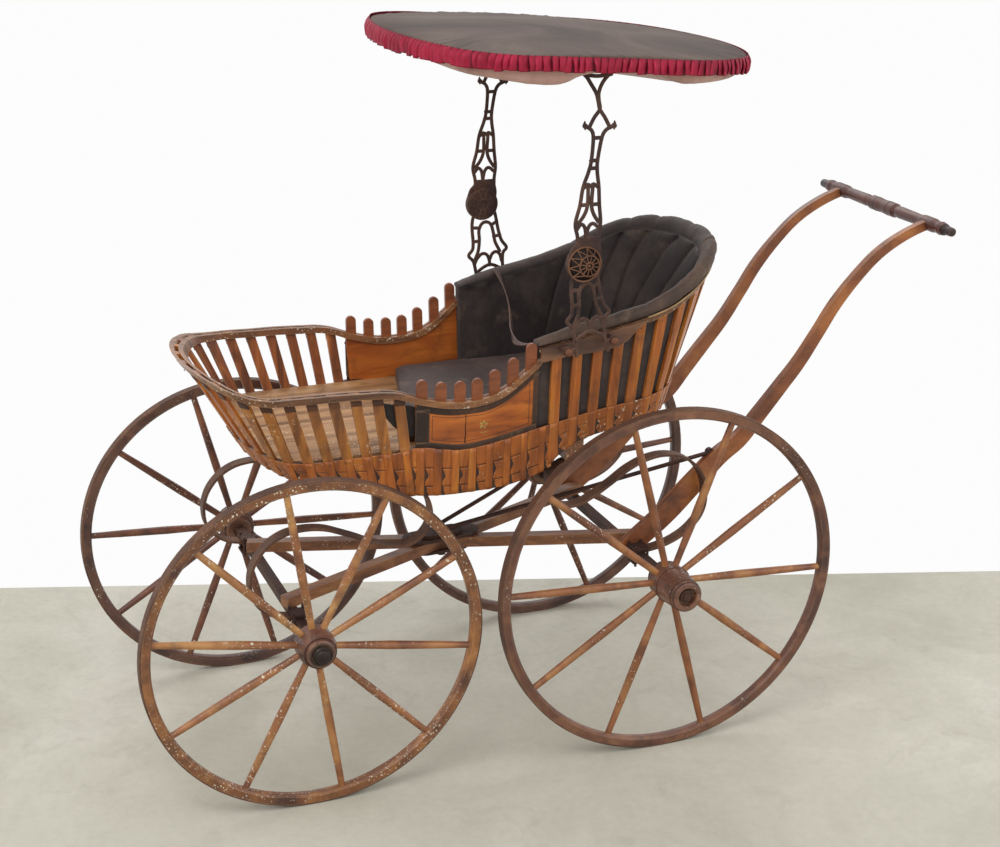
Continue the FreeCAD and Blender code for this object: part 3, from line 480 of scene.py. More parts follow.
def end_lengths(z, end):
    """At a height: half width, the side bend's radius and angle, the tip's radius and centre,
    and where the straight side starts."""
    d = z - 600.0
    half = 199.5 + 0.065 * d
    tip, r, a = {1: (546 + 0.585 * d, 66 + 0.11 * d, math.radians(66)),
                 -1: (-266 - 0.333 * d, 110 + 0.077 * d, math.radians(50))}[end]
    big = r + (half - r) / np.cos(a)
    centre = tip - end * big
    return half, r, a, big, centre, centre + end * (big - r) * np.sin(a)


def wall_length(z, x, end):
    """Length on the wall's middle from the end's tip to x on the straight side."""
    half, r, a, big, centre, start = end_lengths(z, end)
    return big * (math.pi / 2 - a) + r * a + end * (start - x)


def wall_at(s, z, off, end=-1):
    """Points of the body wall, s along it from the end's tip (left is +), off outwards."""
    s, z, off = np.broadcast_arrays(*(np.asarray(v, float) for v in (s, z, off)))
    half, r, a, big, centre, start = end_lengths(z, end)
    m = np.abs(s)
    s1 = big * (math.pi / 2 - a)
    s2 = r * a
    tip = m < s1
    b = np.where(tip, m / big, np.minimum(math.pi / 2 - a + (m - s1) / r, math.pi / 2))
    x = np.where(tip, centre + end * big * np.cos(b), start + end * r * np.cos(b))
    y = np.where(tip, big * np.sin(b), half - r + r * np.sin(b))
    x = x - end * np.maximum(m - s1 - s2, 0)
    x = x + end * off * np.cos(b)
    y = y + off * np.sin(b)
    return np.stack([x, np.where(s < 0, -y, y), z], -1)


CANOPY_AT = (-59.0, 1251.0)                      # x and z of the hoop's middle
CANOPY_LEAN = math.radians(4)


def canopy_outline(count):
    """Even points round the canopy's plan with outward normals, in its own frame."""
    half, run = 297.0, []
    for tip, r, sign in ((314.0, 115.0, 1), (-326.0, 200.0, -1)):
        a = math.radians(68)
        big = r + (half - r) / math.cos(a)
        c = tip - sign * big
        st = c + sign * (big - r) * math.sin(a)
        b1 = np.linspace(0, math.pi / 2 - a, 120)
        b2 = np.linspace(math.pi / 2 - a, math.pi / 2, 120)[1:]
        x = np.concatenate([c + sign * big * np.cos(b1), st + sign * r * np.cos(b2)])
        y = np.concatenate([big * np.sin(b1), half - r + r * np.sin(b2)])
        run.append(np.stack([x, y], 1)[::sign])
    side = np.concatenate(run)
    line = np.concatenate([side, (side * [1, -1])[::-1][1:]])
    d = np.concatenate([[0], np.cumsum(np.linalg.norm(np.diff(line, axis=0), axis=1))])
    s = np.linspace(0, d[-1], count, endpoint=False)
    p = np.stack([np.interp(s, d, v) for v in line.T], 1)
    t = unit(np.roll(p, -1, 0) - np.roll(p, 1, 0))
    return p, np.stack([t[:, 1], -t[:, 0]], 1), s, d[-1]


def canopy_place(points):
    """From the canopy's level frame to the carriage's."""
    p = np.asarray(points, float)
    c, s = math.cos(CANOPY_LEAN), math.sin(CANOPY_LEAN)
    return np.stack([p[..., 0] * c - p[..., 2] * s + CANOPY_AT[0], p[..., 1],
                     p[..., 0] * s + p[..., 2] * c + CANOPY_AT[1]], -1)


# ---------------------------------------------------------------- canopy
out_p, out_n, out_s, ROUND = canopy_outline(960)
DOME_R = (326.0 ** 2 + 18.0 ** 2) / 36.0


def dome(x, y):
    return 41.0 - DOME_R + np.sqrt(DOME_R ** 2 - x * x - y * y)


def make_cover():
    """Cloth stretched over the hoop: a shallow dome with puckers at its turned-down edge."""
    p, n, s, _ = canopy_outline(720)
    count = len(p)
    pucker = np.zeros(count)
    for waves, size in ((61, 0.5), (97, 0.4), (173, 0.35)):
        pucker += size * np.sin(s / ROUND * 2 * math.pi * waves + 7 * np.sin(s / ROUND * 12.566))
    rings = []
    for k in (0.02, *np.linspace(0.06, 0.94, 26), 0.96, 0.975):
        xy = p * k
        z = dome(xy[:, 0], xy[:, 1])
        fade = max(0.0, (k - 0.62) / 0.355) ** 2
        z = z + pucker * fade - 1.3 * math.sin(math.pi * min(k, 1)) ** 2
        z += [0.8 * ripple((x, y, 0), 90, 3.0) * (1 - 0.4 * k) for x, y in xy]
        rings.append(np.column_stack([xy, z]))
    edge_z = dome(p[:, 0], p[:, 1])
    for inset, drop in ((3.4, 0.3), (1.7, 1.2), (0.7, 2.8), (0.45, 6.0), (0.45, 12.0),
                        (0.45, 20.0)):
        xy = p - n * (inset + 0.12 * pucker[:, None])
        rings.append(np.column_stack([xy, edge_z - drop + pucker * 0.5 * (drop < 5)]))
    centre = np.array([[0.0, 0.0, dome(0.0, 0.0) - 0.2]])
    pts = np.concatenate(rings + [centre])
    faces = grid(len(rings), count, False, True) + [f[::-1] for f in cone(len(pts) - 1, 0, count)]
    obj = new_piece("canopy_top_cloth", canopy_place(pts), faces, "canopy_cloth", "canopy",
                    "canopy_cloth")
    if obj.data.polygons[0].normal.z < 0:
        obj.data.flip_normals()
    thicken(obj, 0.0012, -1)
    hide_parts("canopy_cover")


# one pleat: share of its width along the hem, how far it stands out, how lit it is
PLEAT = [(0.04, 0.00, 0.0), (-0.12, 0.26, 0.05), (-0.24, 0.62, 0.4), (-0.24, 0.94, 0.9),
         (-0.08, 1.0, 1.0), (0.10, 0.86, 0.75), (0.30, 0.80, 0.62), (0.46, 0.62, 0.7),
         (0.64, 0.46, 0.42), (0.84, 0.22, 0.15)]
# down the ruffle: height, how far it stands out, how free the pleats are
DROP = [(23.2, 0.02, 0.15), (22.4, 0.22, 0.3), (21.0, 0.42, 0.55), (18.6, 0.66, 0.8),
        (15.2, 0.88, 0.95), (11.5, 1.0, 1.0), (7.8, 0.98, 1.0), (4.4, 0.88, 1.0),
        (1.8, 0.80, 1.0), (-0.4, 0.74, 0.95)]


def make_ruffle():
    """Knife pleats of uneven width that lean a little, gathered at the top."""
    pleats = []
    at = 0.0
    while at < ROUND - 9:
        width = random.uniform(10.5, 16.5)
        pleats.append((at, min(width, ROUND - at)))
        at += width
    pleats[-1] = (pleats[-1][0], ROUND - pleats[-1][0])
    cols = []
    for at, width in pleats:
        tall, full = random.uniform(-2.4, 1.8), random.uniform(0.5, 1.08)
        lean, wave = random.uniform(-2.5, 5.0), random.uniform(-1, 1)
        cols += [(at, width, u, stand * full, lit, tall, lean, wave) for u, stand, lit in PLEAT]
    rows, pleat_light = [], []
    for z, belly, free in DROP:
        h = (23.4 - z) / 24.0
        flat = min(1.0, max(0.25, free))
        for at, width, u, stand, lit, tall, lean, wave in cols:
            s = at + width * (u * flat + (1 - flat) * max(u, 0)) + lean * h * free
            s += 1.3 * wave * math.sin(3 * h + u * 5)
            x, y, nx, ny = (np.interp(s % ROUND, out_s, v, period=ROUND)
                            for v in (*out_p.T, *out_n.T))
            reach = 0.9 + 8.2 * belly * (0.12 + 0.88 * stand * free)
            reach += 0.7 * belly * math.sin(4.2 * h + 9 * wave + 3 * u)
            droop = -6.5 * (abs(x) / 310.0) ** 3 * min(1.0, max(0.0, h))
            rows.append((x + nx * reach, y + ny * reach, z + tall * h + droop))
            # how lit the pleat is here, for its painted shade and highlight; the lowest row is
            # painted darker as shade
            pleat_light.append(lit * (0.55 + 0.45 * free) * (1.0 if z > 0 else 0.7))
    obj = new_piece("canopy_ruffle_cloth", canopy_place(rows),
                    grid(len(DROP), len(cols), False, True), "ruffle_cloth", "canopy",
                    "ruffle_cloth")
    obj.data.attributes.new("pleat_light", "FLOAT", "POINT").data.foreach_set("value", pleat_light)
    thicken(obj, 0.0006, -1)
    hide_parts("canopy_ruffle")


# how far the lining hangs near its edge, by x along the left side and the right
HANG_LEFT = pairs("-326 6, -300 8, -262 14, -190 18, -130 20, -95 14, -72 6, -45 5, -12 5, 20 5,"
                  "55 7, 74 13, 92 22, 120 27, 155 26, 190 23, 235 20, 275 18, 300 12, 314 8")
HANG_RIGHT = pairs("-326 8, -280 16, -200 24, -120 20, -75 14, 0 15, 74 15, 130 24, 200 28,"
                   "260 18, 314 8")
SAG = -27.0                                      # the lining's middle


def make_lining():
    """Sheet that hangs under the hoop, slit where the forks pass through."""
    p, n, s, _ = canopy_outline(600)
    count = len(p)
    hang = np.where(p[:, 1] >= 0, curve_through(HANG_LEFT, p[:, 0]),
                    curve_through(HANG_RIGHT, p[:, 0]))
    rings = []
    for inset, share in ((9.0, -0.10), (9.6, 0.12), (11.0, 0.38), (13.5, 0.64), (17.5, 0.84),
                         (22.5, 0.96), (29.0, 1.0), (37.0, 0.98), (46.0, 0.96)):
        fan = 0.6 * np.sin(s / 4.1 + 2 * np.sin(s / 37)) * max(0, share)
        xy = p - n * (inset + fan)[:, None]
        rings.append(np.column_stack([xy, -hang * share - 0.4 * fan]))
    inner = rings[-1]
    for k in (0.92, 0.82, 0.70, 0.56, 0.42, 0.28, 0.14, 0.05):
        xy = inner[:, :2] * k
        z = inner[:, 2] * k ** 2 + SAG * (1 - k ** 2)
        z = z + [1.6 * ripple((x, y, 0), 70, 9.0) * (1 - k * 0.5) for x, y in xy]
        rings.append(np.column_stack([xy, z]))
    pts = np.concatenate(rings + [np.array([[0.0, 0.0, SAG]])])
    faces = grid(len(rings), count, False, True)
    faces += cone(len(pts) - 1, (len(rings) - 1) * count, count)
    kept = []
    for f in faces:
        c = pts[list(f)].mean(0)
        if not (-22 < c[0] < 70 and 241 < abs(c[1]) < 253):
            kept.append(f)
    used = sorted({i for f in kept for i in f})
    new = {v: k for k, v in enumerate(used)}
    obj = new_piece("canopy_lining_cloth", canopy_place(pts[used]),
                    [tuple(new[i] for i in f) for f in kept], "lining_cloth", "canopy",
                    "lining_cloth")
    thicken(obj, 0.0008)
    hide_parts("canopy_lining")


make_cover()
make_ruffle()
make_lining()

# ---------------------------------------------------------------- padded tub
RIM = pairs("75 763, 0 772, -50 781, -100 789, -150 799, -200 814, -250 836, -290 854,"
            "-340 868, -420 876")
PAD_TOP = pairs("75 771, 50 779, 12 790, -50 804, -100 813, -150 825, -200 845, -250 869,"
                "-290 889, -340 905, -420 911")
FLOOR_TOP = 605.0
HALF_RUN = 480                                   # from the back's middle to the tub's front edge
# sewn channels: where each seam is at five heights, as a share of that way, left positive
SEAM_Z = (900.0, 850.0, 800.0, 750.0, 650.0)
SEAMS = [(-0.50, -0.535, -0.568, -0.59, -0.615), (-0.318, -0.345, -0.372, -0.388, -0.40),
         (-0.205, -0.252, -0.280, -0.288, -0.30), (-0.025, -0.112, -0.155, -0.190, -0.225),
         (0.115, 0.028, -0.030, -0.080, -0.130), (0.25, 0.18, 0.11, 0.05, 0.0),
         (0.38, 0.32, 0.26, 0.20, 0.14), (0.50, 0.46, 0.41, 0.36, 0.30)]


def clip(value):
    return min(1.0, max(0.0, value))


def channel(t, z):
    """0 on a seam, 1 between seams, and how near the closest seam is in millimetres."""
    lines = [float(curve_through(list(zip(SEAM_Z, row)), z)) for row in SEAMS]
    past = max(lines[0] - t, t - lines[-1])
    if past >= 0:
        return min(1.0, past * HALF_RUN / 26.0) ** 0.55, past * HALF_RUN
    a, b = next(two for two in zip(lines, lines[1:]) if t <= two[1])
    u = (t - a) / (b - a)
    return (4 * u * (1 - u)) ** 0.5, min(t - a, b - t) * HALF_RUN


def rim_place(t, z):
    """x and z of the rim's top at a share of the way round, from a first guess of z."""
    for _ in range(6):
        x = wall_at(t * wall_length(z, RIM_END, -1), z, 0.0)[0]
        z = float(curve_through(RIM, x))
    return x, z


def wall_normals(p):
    """Unit normals of a grid of points that wraps along its second side."""
    n = np.cross(np.gradient(p, axis=0), np.roll(p, -1, 1) - np.roll(p, 1, 1))
    return n / np.maximum(np.linalg.norm(n, axis=2, keepdims=True), 1e-9)


def tub_section(t):
    """(off, z) round the lining at a share of the way: inner face, roll, back face."""
    x, zr = rim_place(t, 830.0)
    zt = float(curve_through(PAD_TOP, x))
    near = clip((t - 0.16) / 0.05)               # 1 on the left roll
    rolled = (1 - near) * (0.76 + 0.27 * channel(t, zt)[0]) + near
    if near > 0:                                 # two cross seams of the left roll
        for at, size in ((0.605, 0.14), (0.175, 0.20)):
            rolled -= size * math.exp(-((t - at) * HALF_RUN / 3.0) ** 2)
    if abs(t) > 0.97:
        rolled *= 0.80 + 0.20 * (1 - abs(t)) / 0.03
    zc = zr + 2.5 + (zt - zr - 2.5) * 0.42
    up = (zt - zc + 1.0) * rolled
    low = FLOOR_TOP + 0.6
    section = []
    for k in range(34):
        z = low + (zc - 9.0 - low) * k / 33
        c, d = channel(t, z)
        free = clip((z - 642.0) / 60.0)
        bulge = (8.5 * c - 4.0) * free
        if d < 40 and abs(t) < 0.62:             # the seam's own tuck
            bulge -= 2.6 * math.exp(-(d / 1.8) ** 2) * free
        side = clip((abs(t) - 0.55) / 0.15)
        bulge = bulge * (1 - side) + side * free * 1.5
        pucker = side * free * 1.6 * math.sin(t * HALF_RUN / 9.0 + 2.2 * math.sin(z / 31.0)) \
            * math.exp(-((z - zc) / 46.0) ** 2)
        section.append((-WALL - 0.6 - 16.0 - bulge - pucker, z))
    section.append((-WALL - 18.6 + 8.0 * near, zc - 6.0))    # groove under the left roll
    wide = 14.0 * (0.93 + 0.07 * rolled)
    for k in range(27):
        a = math.radians(196 - 246 * k / 26)
        tall = up if a > 0 else zc - (zr + 2.6)
        lift = 0.8 * math.sin(t * HALF_RUN / 11.0 + k * 0.3) * near
        section.append((-8.0 + wide * math.cos(a), zc + tall * math.sin(a) + lift * 0.4))
    section.append((-WALL - 0.7, zr + 1.8))
    section += [(-WALL - 0.5, zr + (low - zr) * k / 11) for k in range(12)]
    return np.array(section)


def make_tub():
    """Lining with sewn channels that roll over the rim, one closed upholstered piece."""
    ts = np.linspace(-1, 1, 500)
    pts = []
    for t in ts:
        off, z = tub_section(t).T
        # the wall leans outwards, so the same share of the way is further out higher up
        pts.append(wall_at(wall_length(z, RIM_END, -1) * t, z, off))
    pts = np.array(pts)
    rows, cols = pts.shape[:2]
    flat = pts.reshape(-1, 3)
    bump_size = np.array([1.1 * ripple(p, 42, 1.0) + 0.45 * ripple(p, 13, 5.0) for p in flat])
    moved = flat + wall_normals(pts).reshape(-1, 3) * bump_size[:, None]
    obj = new_piece("tub_upholstery", moved, shell(rows, cols), "tub_leather", "carriage",
                    "leather")
    obj.data.materials.append(M["pad_leather"])
    for poly in obj.data.polygons:
        i, j = divmod(min(poly.vertices), cols)
        if 35 <= j <= 61 and ts[i] > 0.16 and poly.area < 0.001:
            poly.material_index = 1
    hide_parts("back_lining", "rim_pad")
    line = []                                    # pale welt along the outside of the left roll
    for t in np.linspace(0.12, 0.60, 90):
        z = rim_place(t, 850.0)[1]
        line.append(wall_at(t * wall_length(z, RIM_END, -1), z + 3.2, 4.6))
    new_piece("rim_welt", *tube(line, 1.7), "welt_leather", "carriage", "leather")


# creases of the seat: both ends in plan, and how deep
CREASES = [((230.0, 96.0), (40.0, 142.0), 3.4), ((150.0, -60.0), (60.0, 20.0), 1.4),
           ((215.0, -150.0), (120.0, -90.0), 1.6)]


def swell(obj):
    """Vertices of a mesh after a short cloth simulation under pressure, in metres."""
    rest = np.array([v.co[:] for v in obj.data.vertices])
    sim = obj.modifiers.new("cloth", "CLOTH")
    for key, value in dict(quality=5, mass=0.3, tension_stiffness=22, compression_stiffness=18,
                           bending_stiffness=2.5, use_pressure=True,
                           uniform_pressure_force=4.0).items():
        setattr(sim.settings, key, value)
    sim.settings.effector_weights.gravity = 0.0
    sim.point_cache.frame_start, sim.point_cache.frame_end = 1, 20
    for k in range(1, 21):
        bpy.context.scene.frame_set(k)
    done = obj.evaluated_get(bpy.context.evaluated_depsgraph_get())
    move = np.array([v.co[:] for v in done.data.vertices]) - rest
    obj.modifiers.clear()
    bpy.context.scene.frame_set(1)
    far = np.linalg.norm(move, axis=1)
    return rest + move * (np.minimum(far, 0.0065) / np.maximum(far, 1e-9))[:, None]


def seat_crown(p, hi, high):
    """How far the seat's top rises at a point, in millimetres."""
    crown = 1.0 * ripple(p, 60, 4.0) + 0.35 * ripple(p, 15, 8.0)
    crown += 3.0 * high * (1 - (p[1] / 175.0) ** 2)
    # the front edge rolls over, the sides a little
    for share, size in (((p[0] - hi[0] * 1000 + 66) / 66, 20.0),
                        ((abs(p[1]) - hi[1] * 1000 + 40) / 40, 9.0)):
        crown -= size * high * clip(share) ** 2
    for (ax, ay), (bx, by), deep in CREASES if p[2] > 628 else ():
        u = ((p[0] - ax) * (bx - ax) + (p[1] - ay) * (by - ay)) \
            / ((bx - ax) ** 2 + (by - ay) ** 2)
        if -0.05 < u < 1.05:
            d = ((p[0] - ax) * (by - ay) - (p[1] - ay) * (bx - ax)) \
                / math.hypot(bx - ax, by - ay) + 4 * math.sin(u * 5)
            fade = math.sin(math.pi * min(1, max(0, u)))
            crown -= deep * fade * math.exp(-(d / 3.2) ** 2)
            crown += 0.5 * deep * fade * math.exp(-((d - 7) / 5.0) ** 2)
    return crown


def make_cushion():
    """The loose seat: swollen by a short cloth simulation, then creased."""
    mesh = nodes["seat_cushion"].data.copy()
    obj = link("seat_pad", mesh)
    lo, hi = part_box("seat_cushion")
    mid = (Vector(lo) + Vector(hi)) / 2
    for v in mesh.vertices:
        d = v.co - mid
        v.co = mid + Vector((d.x * 0.985, d.y * 0.98, d.z * 0.90))
    bpy.context.view_layer.objects.active = obj
    remesh = obj.modifiers.new("remesh", "REMESH")
    remesh.mode, remesh.voxel_size = "VOXEL", 0.0055
    dep = bpy.context.evaluated_depsgraph_get()
    obj.data = bpy.data.meshes.new_from_object(obj.evaluated_get(dep))
    obj.modifiers.clear()
    rest = np.array([v.co[:] for v in obj.data.vertices])
    rest = swell(obj)
    top, floor = hi[2], FLOOR_TOP * MM
    swollen = np.percentile(rest[:, 2], 98)
    rest[:, 2] = floor + (rest[:, 2] - floor) * (top - floor) / (swollen - floor)
    for k, v in enumerate(obj.data.vertices):
        p = rest[k] * 1000.0
        crown = seat_crown(p, hi, max(0.0, (p[2] - FLOOR_TOP) / (top * 1000 - FLOOR_TOP)))
        if p[2] > FLOOR_TOP + 8:
            p[2] += crown
        p[2] = min(max(p[2], FLOOR_TOP + 0.4), top * 1000 + 8.0)
        v.co = Vector(p * MM)
    obj.data.polygons.foreach_set("use_smooth", [True] * len(obj.data.polygons))
    obj.data.materials.clear()
    obj.data.materials.append(M["cushion_leather"])
    fine = obj.modifiers.new("fine", "SUBSURF")
    fine.levels = fine.render_levels = 1
    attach(obj, "carriage")
    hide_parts("seat_cushion")


# half of the strap's section by share of its half width and half thickness, then turned round
STRAP_SECTION = pairs("-1 -0.35, -0.92 -1, -0.5 -1.12, 0 -1.15, 0.5 -1.12, 0.92 -1, 1 -0.35")
STRAP_Z = pairs("0 797, 50 777, 120 752, 200 738, 280 739, 350 755, 392 770")


def make_strap():
    """Curled leather strap hanging from the right rim to the left arm."""
    x0, y0, thick = -30.0, -193.0, 2.4
    run = math.hypot(86.0, 383.0)
    u = np.array([86.0, 383.0]) / run
    line, across, widths = [], [], []
    for k in np.linspace(0, 1, 90):
        s = k * run
        z = float(curve_through([(a * run / 392, b) for a, b in STRAP_Z], s))
        bow = 8 * math.sin(k * math.pi * 2.2)
        line.append((x0 + u[0] * s - u[1] * bow, y0 + u[1] * s + u[0] * bow, z))
        twist = 0.5 + 2.2 * k + 0.4 * math.sin(9 * k)
        across.append((math.cos(twist) * u[1], -math.cos(twist) * u[0], math.sin(twist)))
        widths.append(15.0 - 6.0 * k + 1.2 * math.sin(14 * k))
    line, across = np.array(line), np.array(across)
    way = heading(line)
    across = unit(across - way * (across * way).sum(1)[:, None])
    section = STRAP_SECTION + [(-a, -b) for a, b in STRAP_SECTION]
    pts = [p + s * a * w / 2 + m * b * thick / 2
           for p, s, m, w in zip(line, across, np.cross(way, across), widths)
           for a, b in section]
    obj = new_piece("curled_strap", pts, shell(len(line), len(section)), "strap_leather",
                    "carriage", "leather")
    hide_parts("seat_strap")


def make_flap():
    """Loose corner of the lining leather, curled away from the slats."""
    rows, cols = 22, 26
    low = pairs("262 622, 284 628, 322 662, 340 696")
    high = pairs("262 676, 285 684, 318 691, 340 697")
    pts = []
    for i in range(rows):
        v = i / (rows - 1)
        for j in range(cols):
            x = 262 + 78 * j / (cols - 1)
            za, zb = float(curve_through(low, x)), float(curve_through(high, x))
            z = za + (zb - za) * v + 0.8 * ripple((x, 0, v * 60), 9, 2.0)
            curl = 2.0 * math.sin(j / 4.1) * (0.3 + v) + 4.0 * (j / (cols - 1)) ** 3
            pts.append(wall_at(wall_length(z, x, 1), z, -WALL - 2.2 - abs(curl), 1))
    obj = new_piece("loose_flap", pts, grid(rows, cols), "tub_leather", "carriage", "leather")
    thicken(obj, 0.0018)
    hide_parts("leather_flap")


make_tub()
make_cushion()
make_strap()
make_flap()

# ---------------------------------------------------------------- scroll-cut skirt and slat trim
SKIRT_LOW = pairs("640 578, 530 571, 401 545, 300 522, 247 512, 164 509, 77 517, 30 535, 2 558,"
                  "-32 580, -90 594, -150 602, -215 605, -300 605")
SKIRT_TOP = pairs("640 603, 430 602, 300 602, 276 607, 184 593, 110 602, 46 616, 4 624, -70 638,"
                  "-145 647, -186 652, -300 655")
RAIL = pairs("720 752, 634 745, 602 734, 551 721, 484 718, 377 715, 311 709, 262 692, 210 680,"
             "160 679, 116 690, 75 718, 45 744, 20 764")
SKIRT_Z = 590.0                                  # a height on the skirt everywhere
FRONT_Z = (600.0, 108.0)                         # a front slat's lower end, and its height
TUB_Z = (640.0, 180.0)


def slanted(a, b, z0, high):
    """Length along the wall of a bar's middle at any height, from a at z0 to b at its top."""
    return lambda z: a + (b - a) * (z - z0) / high


def foot_bar(k):
    """The k-th foot slat from the panel, counted towards the front."""
    low, high = wall_length(600.0, 291.0, 1), wall_length(708.0, 305.0, 1)
    return slanted(low - k * (low - 159.6) / 7, high - k * (high - 185.0) / 7, *FRONT_Z)


def tub_bar(k):
    t = k / 12
    return slanted(wall_length(640.0, 14.0, -1) * (1 - t * (1.07 - 0.07 * t)),
                   wall_length(820.0, 14.0, -1) * (1 - t), *TUB_Z)


def level_bar(x):
    return lambda z: wall_length(z, x, 1)


FRONT_SLATS = [slanted(a, b, *FRONT_Z) for a, b in ((27, 28), (76, 82), (121, 134))] \
    + [foot_bar(k) for k in range(7, -1, -1)]
FRONT_BARS = FRONT_SLATS + [level_bar(x) for x in (264, 232, 199, 167, 135, 102, 70, 36)]
TUB_SLATS = [tub_bar(k) for k in range(12)]
REAR_BARS = TUB_SLATS + [lambda z: 0.0 * z]


def skirt_span(x):
    return float(curve_through(SKIRT_LOW, x)), float(curve_through(SKIRT_TOP, x))


def bar_x(bar, z, end):
    return float(wall_at(bar(z), z, 0, end)[0])


def strip_middle(bar, h, end):
    """Length of a strip's middle at a share h of the way down the skirt."""
    z = SKIRT_Z
    for _ in range(3):
        low, top = skirt_span(bar_x(bar, z, end))
        z = top - (top - low) * h
    return bar(z)


def plate(rows, section, end, side, follow=False):
    """Solid strip on the wall: rows of (z, from, to) along the wall, section of (share, off).

    When it follows, each row's height is a share of the way down the skirt instead.
    """
    z, s0, s1 = (np.array(v, float)[:, None] for v in zip(*rows))
    share, off = (np.array(v, float)[None, :] for v in zip(*section))
    s = s0 + (s1 - s0) * share
    high = z + 0 * s
    if follow:
        high = np.full_like(s, SKIRT_Z)
        for _ in range(3):
            x = wall_at(s, high, 0, end)[..., 0]
            low, top = curve_through(SKIRT_LOW, x), curve_through(SKIRT_TOP, x)
            high = top - 0.4 - (top - low - 0.9) * z
    return wall_at(s * side, high, WALL + off + 0 * s, end).reshape(-1, 3), shell(*s.shape)


BAR_SECTION = pairs("0 -0.4, 0 0.9, 0.1 1.7, 0.3 2.5, 0.5 2.8, 0.7 2.5, 0.9 1.7, 1 0.9, 1 -0.4")
FILL_SECTION = pairs("0 -0.4, 0 0.55, 0.06 0.9, 0.3 1, 0.6 1, 0.94 1, 1 0.8, 1 -0.4")
CAP_SECTION = pairs("0 -0.2, 0 1, 0.06 1.5, 0.94 1.5, 1 1, 1 -0.2")
# gap beside each bar, by share of the way down the skirt
SCROLL = pairs("0 0.4, 0.25 0.5, 0.36 1, 0.44 2.2, 0.52 5.2, 0.58 7, 0.63 6.2, 0.68 2.6,"
               "0.74 1.4, 0.8 1.8, 0.86 3.2, 0.92 5.4, 1 8.6")
CUTS = ((0.0, 0.408), (0.426, 0.80), (0.82, 1.0))
HALF_BAR = 7.0


def make_skirt():
    """Raised strips with scroll-cut filling plates between them, on both sides."""
    bars, fills = Batch(), Batch()
    for side in (1, -1):
        for end, row in ((1, FRONT_BARS), (-1, REAR_BARS)):
            # the front's last filling ends at the tub's half, and the tub's last bar is shared
            for k, (bar, after) in enumerate(zip(row, row[1:] + [level_bar(14.0)])):
                low, top = skirt_span(bar_x(bar, SKIRT_Z, end))
                if top - low < 14:
                    continue
                last_rear = end < 0 and k + 1 == len(row)
                if not (last_rear and side < 0):
                    mids = [(h, strip_middle(bar, h, end)) for h in np.linspace(0, 1, 10)]
                    bars.add(*plate([(h, s - HALF_BAR, s + HALF_BAR) for h, s in mids],
                                    BAR_SECTION, end, side, True))
                # the gaps between filling plates show the dark skirt beneath as painted shade
                for a, b in () if last_rear else CUTS:
                    rows = []
                    for h in np.linspace(a, b, 13):
                        gap = np.interp(h, *zip(*SCROLL))
                        if b == 1.0:             # small notch under the second cut
                            gap += max(0.0, 2.2 - abs(h - 0.85) * 40)
                        rows.append((h, strip_middle(bar, h, end) + end * (HALF_BAR + gap),
                                     strip_middle(after, h, end) - end * (HALF_BAR + 0.2)))
                    fills.add(*plate(rows, FILL_SECTION, end, side, True))
    bars.piece("skirt_bars", "slat_wood", "carriage", "amber_wood")
    fills.piece("skirt_scrolls", "skirt_wood", "carriage", "amber_wood")


def dome_head(centre, way, radius, high=0.55, rings=3, sides=10):
    """Round nail or bolt head standing on a point."""
    way = np.asarray(way, float)
    way = way / np.linalg.norm(way)
    up = np.array([0, 0, 1.0]) if abs(way[2]) < 0.9 else np.array([1.0, 0, 0])
    u = np.cross(way, up)
    u /= np.linalg.norm(u)
    v = np.cross(way, u)
    pts = []
    for r in range(rings):
        a = math.pi / 2 * r / rings
        pts += [centre + radius * math.cos(a) * (u * math.cos(b) + v * math.sin(b))
                + way * radius * high * math.sin(a) for b in angles(sides)]
    pts.append(centre + way * radius * high)
    top = len(pts) - 1
    return pts, grid(rings, sides, False, True) + cone(top, top - sides, sides) \
        + [tuple(range(sides))[::-1]]


def make_caps():
    """Small dark blocks where the foot slats meet the outer rail, and the body's nails."""
    caps, nails = Batch(), Batch()

    def nail(bar, z, off, out, radius, end):
        foot, tip = (wall_at(bar(z) * side, z, WALL + d, end) for d in (off, out))
        nails.add(*dome_head(foot, tip - foot, radius))

    for side in (1, -1):
        for bar in FRONT_SLATS:                  # a block with a nail in each
            top = float(curve_through(RAIL, bar_x(bar, 700.0, 1))) - 5.9
            tall = random.uniform(11.0, 14.0)
            caps.add(*plate([(z, bar(z) - 9.3, bar(z) + 9.3)
                             for z in (top - tall, top - tall + 1, top - 4, top)],
                            CAP_SECTION, 1, side))
            nail(bar, top + 6, 6.4, 8.0, 1.9, 1)
        for bar in FRONT_SLATS:                  # along the skirt's upper edge
            nail(bar, skirt_span(bar_x(bar, SKIRT_Z, 1))[1] - 7.0, 2.4, 5.0, 1.5, 1)
        for bar in TUB_SLATS:                    # under the tub's rim
            x = bar_x(bar, 800.0, -1)
            if x < -90:
                nail(bar, float(curve_through(RIM, x)) - 14.0, -0.2, 2.0, 1.6, -1)
    caps.piece("slat_caps", "cap_leather", "carriage", "leather")
    nails.piece("nail_heads", "nail_iron", "carriage", "old_iron")


def patch(path, half, thick, side):
    """Thin band on the side wall along (x, z) points, half its width each way."""
    path = np.asarray(path, float)
    pts = []
    for p, w, h in zip(path, heading(path), np.broadcast_to(half, len(path))):
        for a, off in ((-1, -0.2), (-1, thick * 0.6), (-0.86, thick), (0, thick * 1.08),
                       (0.86, thick), (1, thick * 0.6), (1, -0.2)):
            x, z = p + np.array([-w[1], w[0]]) * a * h
            pts.append(wall_at(wall_length(z, x, 1) * side, z, WALL + off, 1))
    return pts, shell(len(path), 7)


def panel_low(x, d):
    """Height at d above the side panel's lower edge."""
    return float(curve_through(SKIRT_TOP, x)) + d


